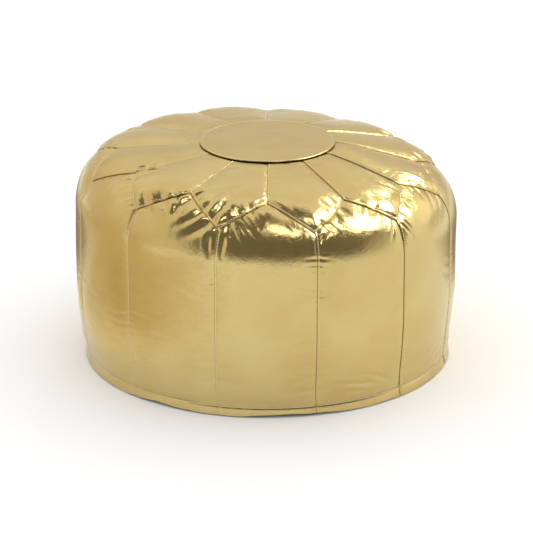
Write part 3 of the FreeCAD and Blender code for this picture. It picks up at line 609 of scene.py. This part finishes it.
def puff(*distances):
    """Share of its full bulge that a panel has reached, at distances from its seams."""
    share = 1.0
    for distance in distances:
        share = share * (1.0 - np.exp(-np.clip(distance, 0.0, None) / PUFF_REACH))
    return share


def petal_surface(form, number, share, distance):
    """Outer face of a petal; share is -1 to 1 across it, distance is down the section."""
    sizes = form.sizes
    end = form.seam_height(1.0 - np.abs(np.clip(share, -1.0, 1.0)))
    radius = form.section(distance)[0]
    to_right = (1.0 - share) * form.half * radius
    to_left = (1.0 + share) * form.half * radius
    to_crown = distance - form.crown_edge
    to_point = (end - distance) * SEAM_LEAN
    lift = sizes.ply_step + over_edge(to_left, sizes.stitch_margin) + over_edge(to_point, sizes.stitch_margin)
    lift = lift + under_edge(to_right, UNDER_STEP) + under_edge(to_crown, UNDER_STEP)
    lift = lift + under_edge(to_point, PRESSED_EDGE) - drawn_in(to_point)
    lift = lift + sizes.petal_puff * puff(to_left, to_right, to_crown, to_point)
    return form.drape(form.half * (2.0 * number - 1.0 + share), distance, lift)


def side_surface(form, number, share, distance):
    """Outer face of a side panel; share is -1 to 1 across it, distance is down the section."""
    sizes = form.sizes
    seam = form.seam_height(np.abs(np.clip(share, -1.0, 1.0)))
    radius = form.section(distance)[0]
    to_right = (1.0 - share) * form.half * radius
    to_left = (1.0 + share) * form.half * radius
    to_seam = (distance - seam) * SEAM_LEAN
    to_hem = form.belly_end - distance
    lift = over_edge(to_left, sizes.stitch_margin) + under_edge(to_right, UNDER_STEP)
    lift = lift + under_edge(to_seam, UNDER_STEP_AT_ZIGZAG) - HEM_FURROW * bell(to_hem, HEM_FURROW_WIDTH)
    lift = lift - drawn_in(to_seam)
    lift = lift + sizes.side_puff * puff(to_left, to_right, to_seam, to_hem)
    return form.drape(form.half * (2.0 * number + share), distance, lift)


def hem_wave(turn):
    """How far the hem's lip has crept up: a little all round, and most at three places."""
    degrees = np.degrees(turned(turn - from_front(0.0)))
    creep = sum(height * bell(degrees - place, width) for place, width, height in HEM_CREEPS)
    return MM * (creep + 0.8 * np.sin(9.0 * turn) ** 2 + 0.7 * np.sin(17.0 * turn + 1.0) ** 2)


def tucked_share(form, across, radius):
    """Share across a panel whose right edge runs on under its neighbour."""
    tuck = form.sizes.seam_tuck / (radius * form.half)
    return spread(across, EDGE_CROWDING) * (1.0 + tuck / 2.0) + tuck / 2.0


def petal(form, number):
    """One petal, from under the crown disc to the zigzag seam."""
    sizes = form.sizes

    def place(across, down):
        share = tucked_share(form, across, sizes.crown_radius * PETAL_MIDDLE)
        start = form.crown_edge - sizes.crown_tuck
        end = form.seam_height(1.0 - np.abs(np.clip(share, -1.0, 1.0)))
        return petal_surface(form, number, share, along_grid(down, start, end))

    piece = grid_piece(f"petal_{number:02d}_leather", *PETAL_GRID, place)
    return pad(piece, sizes.leather, "gold_leather", f"petal_{number:02d}")


def side_panel(form, number):
    """One side panel, from under the petals to the lip of the hem."""
    sizes = form.sizes

    def place(across, down):
        share = tucked_share(form, across, sizes.body_radius)
        seam = form.seam_height(np.abs(np.clip(share, -1.0, 1.0)))
        start = seam - 2.0 * sizes.seam_tuck
        end = form.end - hem_wave(form.half * (2.0 * number + share))
        return side_surface(form, number, share, along_grid(down, start, end))

    piece = grid_piece(f"side_panel_{number:02d}_leather", *SIDE_GRID, place)
    return pad(piece, sizes.leather, "gold_leather", f"side_panel_{number:02d}")


def crown_surface(form, turn, radius):
    """Outer face of the crown disc."""
    sizes = form.sizes
    edge = sizes.crown_radius - radius
    cone = form.section(radius / math.cos(sizes.crown_slope))[1]
    rim = form.section(np.array(form.crown_edge))[1]
    dome = np.minimum(cone, rim + CROWN_DOME * (1.0 - (radius / sizes.crown_radius) ** 2))
    height = dome + 2.0 * sizes.ply_step + over_edge(edge, sizes.stitch_margin)
    return np.stack([radius * np.cos(turn), radius * np.sin(turn), height], axis=-1)


def crown_disc(form):
    """The disc on top, lapped over the petals."""
    sizes = form.sizes

    def place(across, down):
        return crown_surface(form, across * math.pi, sizes.crown_radius * np.sin(down * math.pi / 2.0))

    piece = closed_grid_piece("crown_disc_leather", *CROWN_GRID, place)
    return pad(piece, sizes.leather, "gold_leather", "crown_disc")


# ---------------------------------------------------------------------------------------------------------
# Stitches
# ---------------------------------------------------------------------------------------------------------

def stitch_mesh(length_along, diameter):
    """One stitch: a small rounded bead along X."""
    bm = bmesh.new()
    size = Matrix.Diagonal((0.5 * length_along, 0.5 * diameter, 0.5 * diameter, 1.0))
    bmesh.ops.create_uvsphere(bm, u_segments=6, v_segments=5, radius=1.0,
                              matrix=size @ Matrix.Rotation(math.pi / 2.0, 4, "Y"))
    mesh = bpy.data.meshes.new("stitch")
    bm.to_mesh(mesh)
    bm.free()
    return mesh


def distances_along(path):
    """How far along a path each of its points lies."""
    return np.concatenate([[0.0], np.cumsum(np.linalg.norm(np.diff(path, axis=0), axis=1))])


def sew(bm, stitch, path, pitch):
    """Lay single stitches along a path of surface points, a little apart."""
    travelled = distances_along(path)
    count = max(int(travelled[-1] / pitch), 1)
    marks = (np.arange(count) + 0.5) * travelled[-1] / count
    centres, before, after = (
        np.stack([np.interp(marks + shift * pitch, travelled, path[:, axis]) for axis in range(3)], axis=1)
        for shift in (0.0, -0.33, 0.33))
    for centre, direction in zip(centres, after - before):
        pose = Matrix.Translation(centre) @ Vector(direction).to_track_quat("X", "Z").to_matrix().to_4x4()
        stitch.transform(pose)
        bm.from_mesh(stitch)
        stitch.transform(pose.inverted())


def thread_piece(form, name, node, paths, pitch):
    """One piece of stitches along several paths."""
    stitch = stitch_mesh(STITCH_SHARE * pitch, form.sizes.thread)
    bm = bmesh.new()
    for path in paths:
        sew(bm, stitch, path, pitch)
    bpy.data.meshes.remove(stitch)
    piece = finish_mesh(bm, name)
    settle(piece, "thread", node)
    return piece


def crown_stitches(form):
    """Ring of stitches just inside the edge of the crown disc."""
    turn = np.linspace(0.0, 2.0 * math.pi, 721)
    radius = np.full_like(turn, form.sizes.crown_radius - form.sizes.stitch_margin)
    ring = crown_surface(form, turn, radius) + np.array([0.0, 0.0, THREAD_LIFT])
    return thread_piece(form, "crown_stitches", "crown_thread", [ring], CROWN_PITCH)


def share_at(form, distance, margin):
    """Share across a panel of a line that runs beside its left edge."""
    return margin / (form.section(distance)[0] * form.half) - 1.0


def stitch_path(form, surface, number, middle, share, distance):
    """Points just above a petal or a side panel; middle is the panel's middle, in half panels."""
    turn = form.half * (middle + share)
    out, up = form.section(distance)[2:]
    normal = np.stack([out * np.cos(turn), out * np.sin(turn), up], axis=-1)
    return surface(form, number, share, distance) + normal * THREAD_LIFT


def panel_numbers(form):
    """Numbers of the petals and of the side panels."""
    return range(1, form.sizes.panel_count + 1)


def petal_stitches(form):
    """Stitches beside the seams between the petals."""
    margin = form.sizes.stitch_margin
    distance = np.linspace(form.crown_edge + 2.0 * MM, form.top_corner - 1.5 * margin, 80)
    share = share_at(form, distance, margin)
    paths = [stitch_path(form, petal_surface, number, 2.0 * number - 1.0, share, distance)
             for number in panel_numbers(form)]
    return thread_piece(form, "petal_stitches", "petal_threads", paths, SEAM_PITCH)


def point_stitches(form):
    """Stitches along the zigzag seam."""
    margin = form.sizes.stitch_margin
    inset = margin / SEAM_LEAN
    paths = []
    for number in panel_numbers(form):
        for start, stop in ((-0.95, 0.0), (0.0, 0.97)):
            share = np.linspace(start, stop, 60)
            distance = form.seam_height(1.0 - np.abs(share)) - inset
            paths.append(stitch_path(form, petal_surface, number, 2.0 * number - 1.0, share, distance))
    return thread_piece(form, "point_stitches", "point_threads", paths, SEAM_PITCH)


def side_stitches(form):
    """Stitches beside the seams between the side panels."""
    margin = form.sizes.stitch_margin
    distance = np.linspace(form.low_corner + 2.0 * margin, form.belly_end - 2.0 * MM, 160)
    share = share_at(form, distance, margin)
    paths = [stitch_path(form, side_surface, number, 2.0 * number, share, distance)
             for number in panel_numbers(form)]
    return thread_piece(form, "side_stitches", "side_threads", paths, SIDE_PITCH)


def hem_stitches(form):
    """Ring of stitches round the waist of the hem."""
    share = np.linspace(-0.98, 1.0, 60)
    distance = np.full_like(share, form.belly_end)
    paths = [stitch_path(form, side_surface, number, 2.0 * number, share, distance)
             for number in panel_numbers(form)]
    return thread_piece(form, "hem_stitches", "hem_thread", paths, HEM_PITCH)


# ---------------------------------------------------------------------------------------------------------
# Base and inside
# ---------------------------------------------------------------------------------------------------------

def base_panel(form, label, side):
    """Half of the cloth base, with its recess, foot ring and turned-up rim."""
    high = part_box(label)[1]
    foot_outer = form.sizes.body_radius - form.sizes.hem_inset - BASE_FOOT_INSET
    foot_inner = foot_outer - BASE_FOOT_WIDTH
    recess = foot_inner - BASE_SLOPE_WIDTH
    slot_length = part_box("zip_tape_rear")[1].x + SLOT_SPARE
    run = np.array([(recess, BASE_RECESS), (foot_inner, 0.0), (foot_outer, 0.0), (high.x, BASE_RISE),
                    (high.x, high.z)])
    travelled = distances_along(run)

    def place(across, down):
        turn = (1.0 + spread(across, BASE_CROWDING)) * math.pi / 2.0
        inner = np.minimum(BASE_SLOT_HALF / np.maximum(np.sin(turn), 1e-6),
                           slot_length / np.maximum(np.abs(np.cos(turn)), 1e-6))
        outside = np.clip((down - RECESS_SHARE) / (1.0 - RECESS_SHARE), 0.0, 1.0)
        marks = outside * travelled[-1]
        radius = np.interp(marks, travelled, run[:, 0])
        height = np.interp(marks, travelled, run[:, 1])
        share = np.clip(down / RECESS_SHARE, 0.0, 1.0)
        radius = np.where(down < RECESS_SHARE, inner + (recess - inner) * share, radius)
        slack = BASE_SLACK * np.sin(9.0 * turn) * np.sin(np.clip(radius / recess, 0.0, 1.0) * math.pi)
        height = height + np.where(radius < recess, slack, 0.0)
        y = np.maximum(radius * np.sin(turn), BASE_SEAM_HALF)
        return np.stack([radius * np.cos(turn) * side, y * side, height], axis=-1)

    bm = bent_grid(*BASE_GRID, place)
    bm.normal_update()
    if sum(face.normal.z for face in bm.faces) > 0.0:
        bmesh.ops.reverse_faces(bm, faces=bm.faces)
    return pad(finish_mesh(bm, f"{label}_cloth"), BASE_CLOTH, "base_cloth", label)


def inner_bag(form, name, node, slot, inset, lump):
    """A lumpy closed bag inside the cover, drawn in by an inset."""
    floor = BASE_RECESS + BAG_FLOOR + 0.3 * inset
    side_end = form.upright_end + 0.8 * form.belly_turn * form.belly_radius
    ceiling = float(form.section(form.crown_edge)[1]) - inset

    def place(across, down):
        turn = across * math.pi
        on_side = np.clip(down / BAG_SIDE_SHARE, 0.0, 1.0)
        under = np.clip((down - BAG_SIDE_SHARE) / (1.0 - BAG_SIDE_SHARE), 0.0, 1.0)
        wave = np.sin(7.0 * turn + 40.0 * on_side) * np.sin(3.0 * turn - 23.0 * on_side + 1.0)
        lumps = lump * (0.5 + 0.5 * wave) * smooth_step(on_side / 0.2)
        points = form.place(turn, side_end * on_side, -(inset + lumps))
        points[:, 2] = np.minimum(points[:, 2], ceiling)
        closing = 1.0 - smooth_step(under)
        points[:, :2] *= (closing * smooth_step(on_side / 0.02))[:, None]
        foot = floor + BAG_FOOT * bell(closing - 0.2, 0.6)
        points[:, 2] += (foot - points[:, 2]) * np.clip(under * 2.5, 0.0, 1.0)
        return points

    return pad(closed_grid_piece(name, *BAG_GRID, place), None, slot, node)


# ---------------------------------------------------------------------------------------------------------
# Finishes
# ---------------------------------------------------------------------------------------------------------

FINISHES = {}


class NodeBook:
    """Short ways to add and join the nodes of one material."""

    def __init__(self, name):
        self.material = bpy.data.materials.new(name)
        self.material.use_nodes = True
        self.tree = self.material.node_tree
        self.shader = self.tree.nodes["Principled BSDF"]
        self.place = self.add("ShaderNodeTexCoord").outputs["Object"]

    def add(self, kind, **settings):
        """Add a node; settings are its properties."""
        node = self.tree.nodes.new(kind)
        for name, value in settings.items():
            setattr(node, name, value)
        return node

    def join(self, source, target):
        """Link an output to an input."""
        self.tree.links.new(source, target)

    def noise(self, scale, detail=2.0, roughness=0.5, distortion=0.0):
        """Noise on the object's own coordinates."""
        node = self.add("ShaderNodeTexNoise")
        self.join(self.place, node.inputs["Vector"])
        node.inputs["Scale"].default_value = scale
        node.inputs["Detail"].default_value = detail
        node.inputs["Roughness"].default_value = roughness
        node.inputs["Distortion"].default_value = distortion
        return node.outputs["Fac"]

    def cells(self, scale):
        """Distance to the edges of cells on the object's own coordinates."""
        node = self.add("ShaderNodeTexVoronoi", feature="DISTANCE_TO_EDGE")
        self.join(self.place, node.inputs["Vector"])
        node.inputs["Scale"].default_value = scale
        return node.outputs["Distance"]

    def ramp(self, value, low, high, start, stop):
        """Map a value from low..high to start..stop."""
        node = self.add("ShaderNodeMapRange")
        self.join(value, node.inputs["Value"])
        node.inputs["From Min"].default_value = low
        node.inputs["From Max"].default_value = high
        node.inputs["To Min"].default_value = start
        node.inputs["To Max"].default_value = stop
        return node.outputs["Result"]

    def times(self, first, second):
        """Multiply two values."""
        node = self.add("ShaderNodeMath", operation="MULTIPLY")
        self.join(first, node.inputs[0])
        self.join(second, node.inputs[1])
        return node.outputs["Value"]

    def blend(self, share, first, second):
        """Mix two colours by a share."""
        node = self.add("ShaderNodeMix", data_type="RGBA")
        self.join(share, node.inputs["Factor"])
        node.inputs["A"].default_value = (*first, 1.0)
        node.inputs["B"].default_value = (*second, 1.0)
        return node.outputs["Result"]

    def bump(self, height, distance, strength, below=None):
        """Bump from a height, on top of another bump."""
        node = self.add("ShaderNodeBump")
        self.join(height, node.inputs["Height"])
        node.inputs["Distance"].default_value = distance
        node.inputs["Strength"].default_value = strength
        if below is not None:
            self.join(below, node.inputs["Normal"])
        return node.outputs["Normal"]


def gold_leather(colours):
    """Smooth leather with a metallic gold foil, finely grained, creased and a little rubbed."""
    book = NodeBook("gold_leather")
    shader = book.shader
    shader.inputs["Metallic"].default_value = 1.0
    tone = book.ramp(book.noise(9.0, 4.0, 0.6), 0.35, 0.7, 0.0, 1.0)
    book.join(book.blend(tone, tuple(colours.gold), tuple(colours.gold_deep)), shader.inputs["Base Color"])
    book.join(book.ramp(book.noise(45.0, 6.0, 0.65), 0.3, 0.7, 0.11, 0.22), shader.inputs["Roughness"])
    grain = book.bump(book.noise(700.0, 4.0, 0.65), 0.0002, 0.35)
    creases = book.ramp(book.cells(150.0), 0.0, 0.08, 0.0, 1.0)
    creased = book.bump(creases, 0.0001, 0.25, grain)
    cracks = book.ramp(book.noise(95.0, 3.0, 0.6, 1.4), 0.44, 0.5, 0.0, 1.0)
    creased = book.bump(cracks, 0.0003, 0.2, creased)
    mottled = book.bump(book.noise(230.0, 4.0, 0.6, 0.8), 0.0009, 0.2, creased)
    soft = book.bump(book.noise(38.0, 5.0, 0.6, 0.6), 0.0012, 0.3, mottled)
    book.join(soft, shader.inputs["Normal"])
    return book.material


def plain_finish(name, mottling, first, second, roughness, grain, depth, strength):
    """Two mixed colours, one roughness and a fine grain; mottling and grain are settings of their noise."""
    book = NodeBook(name)
    book.join(book.blend(book.noise(*mottling), first, second), book.shader.inputs["Base Color"])
    book.shader.inputs["Roughness"].default_value = roughness
    book.join(book.bump(book.noise(*grain), depth, strength), book.shader.inputs["Normal"])
    return book


def waxed_thread(colours):
    """Pale thread."""
    pale = tuple(colours.thread)
    return plain_finish("thread", (500.0,), pale, (0.62, 0.54, 0.38), 0.6, (2500.0,), 0.0001, 0.5).material


def woven_cloth(name, colour_value, thread_scale):
    """Plain weave in one colour."""
    book = NodeBook(name)
    lighter = tuple(min(1.0, channel * 1.8 + 0.01) for channel in colour_value)
    tone = book.blend(book.noise(40.0, 4.0), tuple(colour_value), lighter)
    book.join(tone, book.shader.inputs["Base Color"])
    book.shader.inputs["Roughness"].default_value = 0.85
    waves = []
    for direction in ("X", "Y"):
        wave = book.add("ShaderNodeTexWave", wave_type="BANDS", bands_direction=direction)
        book.join(book.place, wave.inputs["Vector"])
        wave.inputs["Scale"].default_value = thread_scale
        waves.append(wave.outputs["Fac"])
    weave = book.add("ShaderNodeMath", operation="MAXIMUM")
    book.join(waves[0], weave.inputs[0])
    book.join(waves[1], weave.inputs[1])
    book.join(book.bump(weave.outputs["Value"], 0.0003, 0.5), book.shader.inputs["Normal"])
    return book.material


def moulded_plastic():
    """Black moulded plastic."""
    black = (0.02, 0.02, 0.02)
    grey = (0.05, 0.05, 0.05)
    return plain_finish("zip_teeth", (200.0,), black, grey, 0.4, (1500.0,), 0.0001, 0.2).material


def satin_brass(colours):
    """Worn satin brass."""
    brass = tuple(colours.brass)
    worn = (0.40, 0.28, 0.12)
    book = plain_finish("zip_metal", (150.0, 4.0), brass, worn, 0.35, (1200.0, 4.0), 0.0001, 0.2)
    book.shader.inputs["Metallic"].default_value = 1.0
    book.join(book.ramp(book.noise(300.0, 4.0), 0.3, 0.7, 0.25, 0.45), book.shader.inputs["Roughness"])
    return book.material


def fibre():
    """White fibre filling."""
    white = (0.85, 0.84, 0.80)
    shade = (0.70, 0.69, 0.65)
    return plain_finish("filling", (80.0, 6.0), white, shade, 0.95, (160.0, 8.0, 0.8), 0.004, 0.8).material


def finishes(colours):
    """All finishes by the name of their slot, made once."""
    if not FINISHES:
        FINISHES.update(
            gold_leather=gold_leather(colours),
            thread=waxed_thread(colours),
            base_cloth=woven_cloth("base_cloth", tuple(colours.base), 320.0),
            zip_tape=woven_cloth("zip_tape", tuple(colours.base), 420.0),
            liner_cloth=woven_cloth("liner_cloth", (0.62, 0.60, 0.54), 300.0),
            zip_teeth=moulded_plastic(),
            zip_metal=satin_brass(colours),
            filling=fibre())
    return FINISHES


def paint(piece, name, colours):
    """Give a piece one finish."""
    piece.data.materials.clear()
    piece.data.materials.append(finishes(colours)[name])


# ---------------------------------------------------------------------------------------------------------
# Stage
# ---------------------------------------------------------------------------------------------------------

# light and tint of the cards
WHITE = (1.15, 1.12, 1.05)
SOFTBOX = (1.0, 0.98, 0.95)
PALE = (0.98, 0.91, 0.76)
# WARM is the painted shade of the floor at the left as the cover mirrors it; it also tints the foot of the
# left wall
WARM = (0.78, 0.66, 0.45)
# SHADED is the painted shade of the floor behind the pouf as the cover mirrors it
SHADED = (0.36, 0.30, 0.22)
DARK = (0.22, 0.20, 0.18)

FLOOR_SIZE = 20.0
WORLD_LIGHT = 1.2
LENS = 195.5
LENS_SHIFT = -0.0017
CAMERA_TARGET = (0.0, 0.0, 0.141)
CAMERA_DISTANCE = 4.7245
CAMERA_RISE = 20.4           # degrees above the level


def glow(name, core, edge, fades, strength):
    """A material that shines, from an edge colour to a core colour; each fade is an axis and the places on it
    where the edge colour ends and the core colour begins."""
    book = NodeBook(name)
    tree = book.tree
    tree.nodes.remove(book.shader)
    axes = book.add("ShaderNodeSeparateXYZ")
    book.join(book.place, axes.inputs["Vector"])
    share = None
    for axis, begin, end in fades:
        step = book.ramp(axes.outputs[axis], begin, end, 0.0, 1.0)
        share = step if share is None else book.times(share, step)
    shine = book.add("ShaderNodeEmission")
    shine.inputs["Strength"].default_value = strength
    if share is None:
        shine.inputs["Color"].default_value = (*core, 1.0)
    else:
        book.join(book.blend(share, edge, core), shine.inputs["Color"])
    book.join(shine.outputs["Emission"], tree.nodes["Material Output"].inputs["Surface"])
    return book.material


def card(name, place, core, edge, fades, strength):
    """A studio card that is seen only in reflections."""
    piece = grid_piece(name, *CARD_GRID, place)
    piece.data.materials.append(glow(name, core, edge, fades, strength))
    for use in ("visible_camera", "visible_diffuse", "visible_shadow"):
        setattr(piece, use, False)


def sky_card(name, distance, turns, heights, core, edge=WHITE, fades=(), strength=1.0):
    """A curved softbox or flag round the pouf. Its turns are degrees to the right of the front and its
    heights are degrees above the floor."""

    def place(across, down):
        turn = np.radians(turns[0] + (turns[1] - turns[0]) * (across + 1.0) / 2.0)
        height = np.radians(heights[1] + (heights[0] - heights[1]) * down)
        flat = distance * np.cos(height)
        return np.stack([flat * np.sin(turn), -flat * np.cos(turn), distance * np.sin(height)], axis=-1)

    card(name, place, core, edge, fades, strength)


def level_card(name, height, left, right, near, far, core, edge=WHITE, fades=()):
    """A level card seen only in reflections. Just above the floor it warms and dims what the cover mirrors
    from the floor, as painted shade; overhead it dims what the cover mirrors from above.
    """

    def place(across, down):
        x = left + (right - left) * (across + 1.0) / 2.0
        return np.stack([x, far + (near - far) * down, np.full_like(x, height)], axis=-1)

    card(name, place, core, edge, fades, 1.0)


def floor_and_world():
    """A pale floor that runs out into a white surround."""
    bm = bmesh.new()
    bmesh.ops.create_grid(bm, x_segments=1, y_segments=1, size=FLOOR_SIZE)
    floor = finish_mesh(bm, "floor", smooth=False)
    book = NodeBook("floor")
    tone = book.blend(book.noise(3.0), (0.90, 0.90, 0.90), (0.88, 0.88, 0.88))
    book.join(tone, book.shader.inputs["Base Color"])
    book.shader.inputs["Roughness"].default_value = 0.9
    floor.data.materials.append(book.material)
    world = bpy.data.worlds.new("surround")
    bpy.context.scene.world = world
    world.use_nodes = True
    background = world.node_tree.nodes["Background"]
    background.inputs["Color"].default_value = (1.0, 1.0, 1.0, 1.0)
    background.inputs["Strength"].default_value = WORLD_LIGHT


def camera():
    """A long lens, a little above the pouf and looking slightly down at it."""
    lens = bpy.data.cameras.new("camera")
    lens.lens = LENS
    lens.shift_x = LENS_SHIFT
    lens.clip_end = 100.0
    piece = bpy.data.objects.new("camera", lens)
    bpy.context.scene.collection.objects.link(piece)
    rise = math.radians(CAMERA_RISE)
    piece.location = Vector(CAMERA_TARGET) + Vector((0.0, -math.cos(rise), math.sin(rise))) * CAMERA_DISTANCE
    piece.rotation_euler = (math.pi / 2.0 - rise, 0.0, 0.0)
    bpy.context.scene.camera = piece


# ---------------------------------------------------------------------------------------------------------
# Operators
# ---------------------------------------------------------------------------------------------------------

def settings(context):
    """Sizes and colours set in the panel."""
    return context.scene.pouf_sizes, context.scene.pouf_colours


class POUF_OT_leather(Operator):
    """Make the crown disc, the petals and the side panels"""

    bl_idname = "pouf.leather"
    bl_label = "Leather cover"

    def execute(self, context):
        sizes, colours = settings(context)
        form = CoverForm(sizes)
        paint(crown_disc(form), "gold_leather", colours)
        for number in panel_numbers(form):
            paint(petal(form, number), "gold_leather", colours)
            paint(side_panel(form, number), "gold_leather", colours)
        return {"FINISHED"}


class POUF_OT_stitches(Operator):
    """Sew every seam with single stitches"""

    bl_idname = "pouf.stitches"
    bl_label = "Stitches"

    def execute(self, context):
        sizes, colours = settings(context)
        form = CoverForm(sizes)
        for make in (crown_stitches, petal_stitches, point_stitches, side_stitches, hem_stitches):
            paint(make(form), "thread", colours)
        return {"FINISHED"}


class POUF_OT_base(Operator):
    """Make the two halves of the cloth base"""

    bl_idname = "pouf.base"
    bl_label = "Cloth base"

    def execute(self, context):
        sizes, colours = settings(context)
        form = CoverForm(sizes)
        paint(base_panel(form, "base_panel_front", -1.0), "base_cloth", colours)
        paint(base_panel(form, "base_panel_rear", 1.0), "base_cloth", colours)
        return {"FINISHED"}


class POUF_OT_inside(Operator):
    """Make the liner bag and its filling"""

    bl_idname = "pouf.inside"
    bl_label = "Liner and filling"

    def execute(self, context):
        sizes, colours = settings(context)
        form = CoverForm(sizes)
        liner = inner_bag(form, "liner_bag_cloth", "liner_bag", "liner_cloth", 5.0 * MM, 2.0 * MM)
        paint(liner, "liner_cloth", colours)
        paint(inner_bag(form, "filling_fibre", "filling", "filling", 9.0 * MM, 4.0 * MM), "filling", colours)
        return {"FINISHED"}


class POUF_OT_zip(Operator):
    """Finish the zip's tapes, teeth, slider, pull and stops"""

    bl_idname = "pouf.zip"
    bl_label = "Zip"

    def execute(self, context):
        colours = settings(context)[1]
        for row in frame["record"]["subparts"]:
            if row["node"].startswith("zip_"):
                paint(frame["nodes"][row["node"]], row["material_slot"], colours)
        return {"FINISHED"}


class POUF_OT_stage(Operator):
    """Set up the floor, the light and the camera"""

    bl_idname = "pouf.stage"
    bl_label = "Stage"

    def execute(self, context):
        floor_and_world()
        sky_card("flag_front", 3.0, (-54.0, 84.0), (0.0, 84.0), DARK, WHITE,
                 (("Z", 0.0, 0.5), ("X", -2.5, -1.6), ("X", 3.0, 2.5)))
        sky_card("softbox_right", 2.6, (70.0, 108.0), (40.0, 62.0), SOFTBOX, strength=14.0)
        sky_card("softbox_back", 2.6, (136.0, 150.0), (41.0, 50.0), SOFTBOX, strength=10.0)
        sky_card("softbox_front", 2.6, (14.0, 36.0), (56.0, 68.0), SOFTBOX, strength=7.0)
        sky_card("softbox_low", 2.7, (104.0, 134.0), (12.0, 38.0), (1.0, 0.97, 0.88), strength=1.5)
        sky_card("backdrop_low", 3.6, (110.0, 250.0), (0.0, 29.0), (0.82, 0.75, 0.61))
        sky_card("backdrop_high", 3.6, (110.0, 250.0), (29.0, 66.0), (1.02, 0.98, 0.9))
        sky_card("wall_left", 3.6, (-130.0, -56.0), (0.0, 60.0), (0.95, 0.88, 0.73), WARM, (("Z", 0.0, 1.8),))
        level_card("flag_top", 2.9, -1.3, 0.5, -0.7, 0.55, DARK, (0.85, 0.81, 0.72),
                   (("Y", 0.55, 0.2),))
        # painted shade: a warm, dim card just above the floor at the left, seen only where the cover mirrors
        # the floor
        level_card("floor_left", 2.0 * MM, -3.6, -0.36, -0.9, 1.4, WARM, PALE,
                   (("X", -0.38, -0.6), ("Y", -0.8, -0.3)))
        # painted shade: a dark card just above the floor behind the pouf, seen only where the cover mirrors
        # the floor
        level_card("floor_back", 3.0 * MM, -0.95, 0.95, 0.22, 1.4, SHADED, PALE,
                   (("Y", 0.22, 0.42), ("Y", 1.4, 1.0), ("X", -0.95, -0.6), ("X", 0.95, 0.6)))
        camera()
        context.scene.view_settings.view_transform = "Standard"
        return {"FINISHED"}


class POUF_PT_sidebar(Panel):
    """Lists the sizes, the colours and the steps"""

    bl_label = "Leather pouf"
    bl_idname = "POUF_PT_sidebar"
    bl_space_type = "VIEW_3D"
    bl_region_type = "UI"
    bl_category = "Pouf"

    def draw(self, context):
        for group in settings(context):
            for name in group.bl_rna.properties.keys():
                if name not in {"rna_type", "name"}:
                    self.layout.prop(group, name)
        for operator in OPERATORS:
            self.layout.operator(operator.bl_idname)


OPERATORS = (POUF_OT_leather, POUF_OT_stitches, POUF_OT_base, POUF_OT_inside, POUF_OT_zip, POUF_OT_stage)
CLASSES = (PoufSizes, PoufColours) + OPERATORS + (POUF_PT_sidebar,)


def register():
    """Add the classes and the settings."""
    for item in CLASSES:
        bpy.utils.register_class(item)
    bpy.types.Scene.pouf_sizes = PointerProperty(type=PoufSizes)
    bpy.types.Scene.pouf_colours = PointerProperty(type=PoufColours)


def unregister():
    """Take them away again."""
    del bpy.types.Scene.pouf_colours
    del bpy.types.Scene.pouf_sizes
    for item in reversed(CLASSES):
        bpy.utils.unregister_class(item)


def main():
    """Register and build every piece."""
    register()
    bpy.ops.pouf.leather()
    bpy.ops.pouf.stitches()
    bpy.ops.pouf.base()
    bpy.ops.pouf.inside()
    bpy.ops.pouf.zip()
    bpy.ops.pouf.stage()


if __name__ == "__main__":
    main()
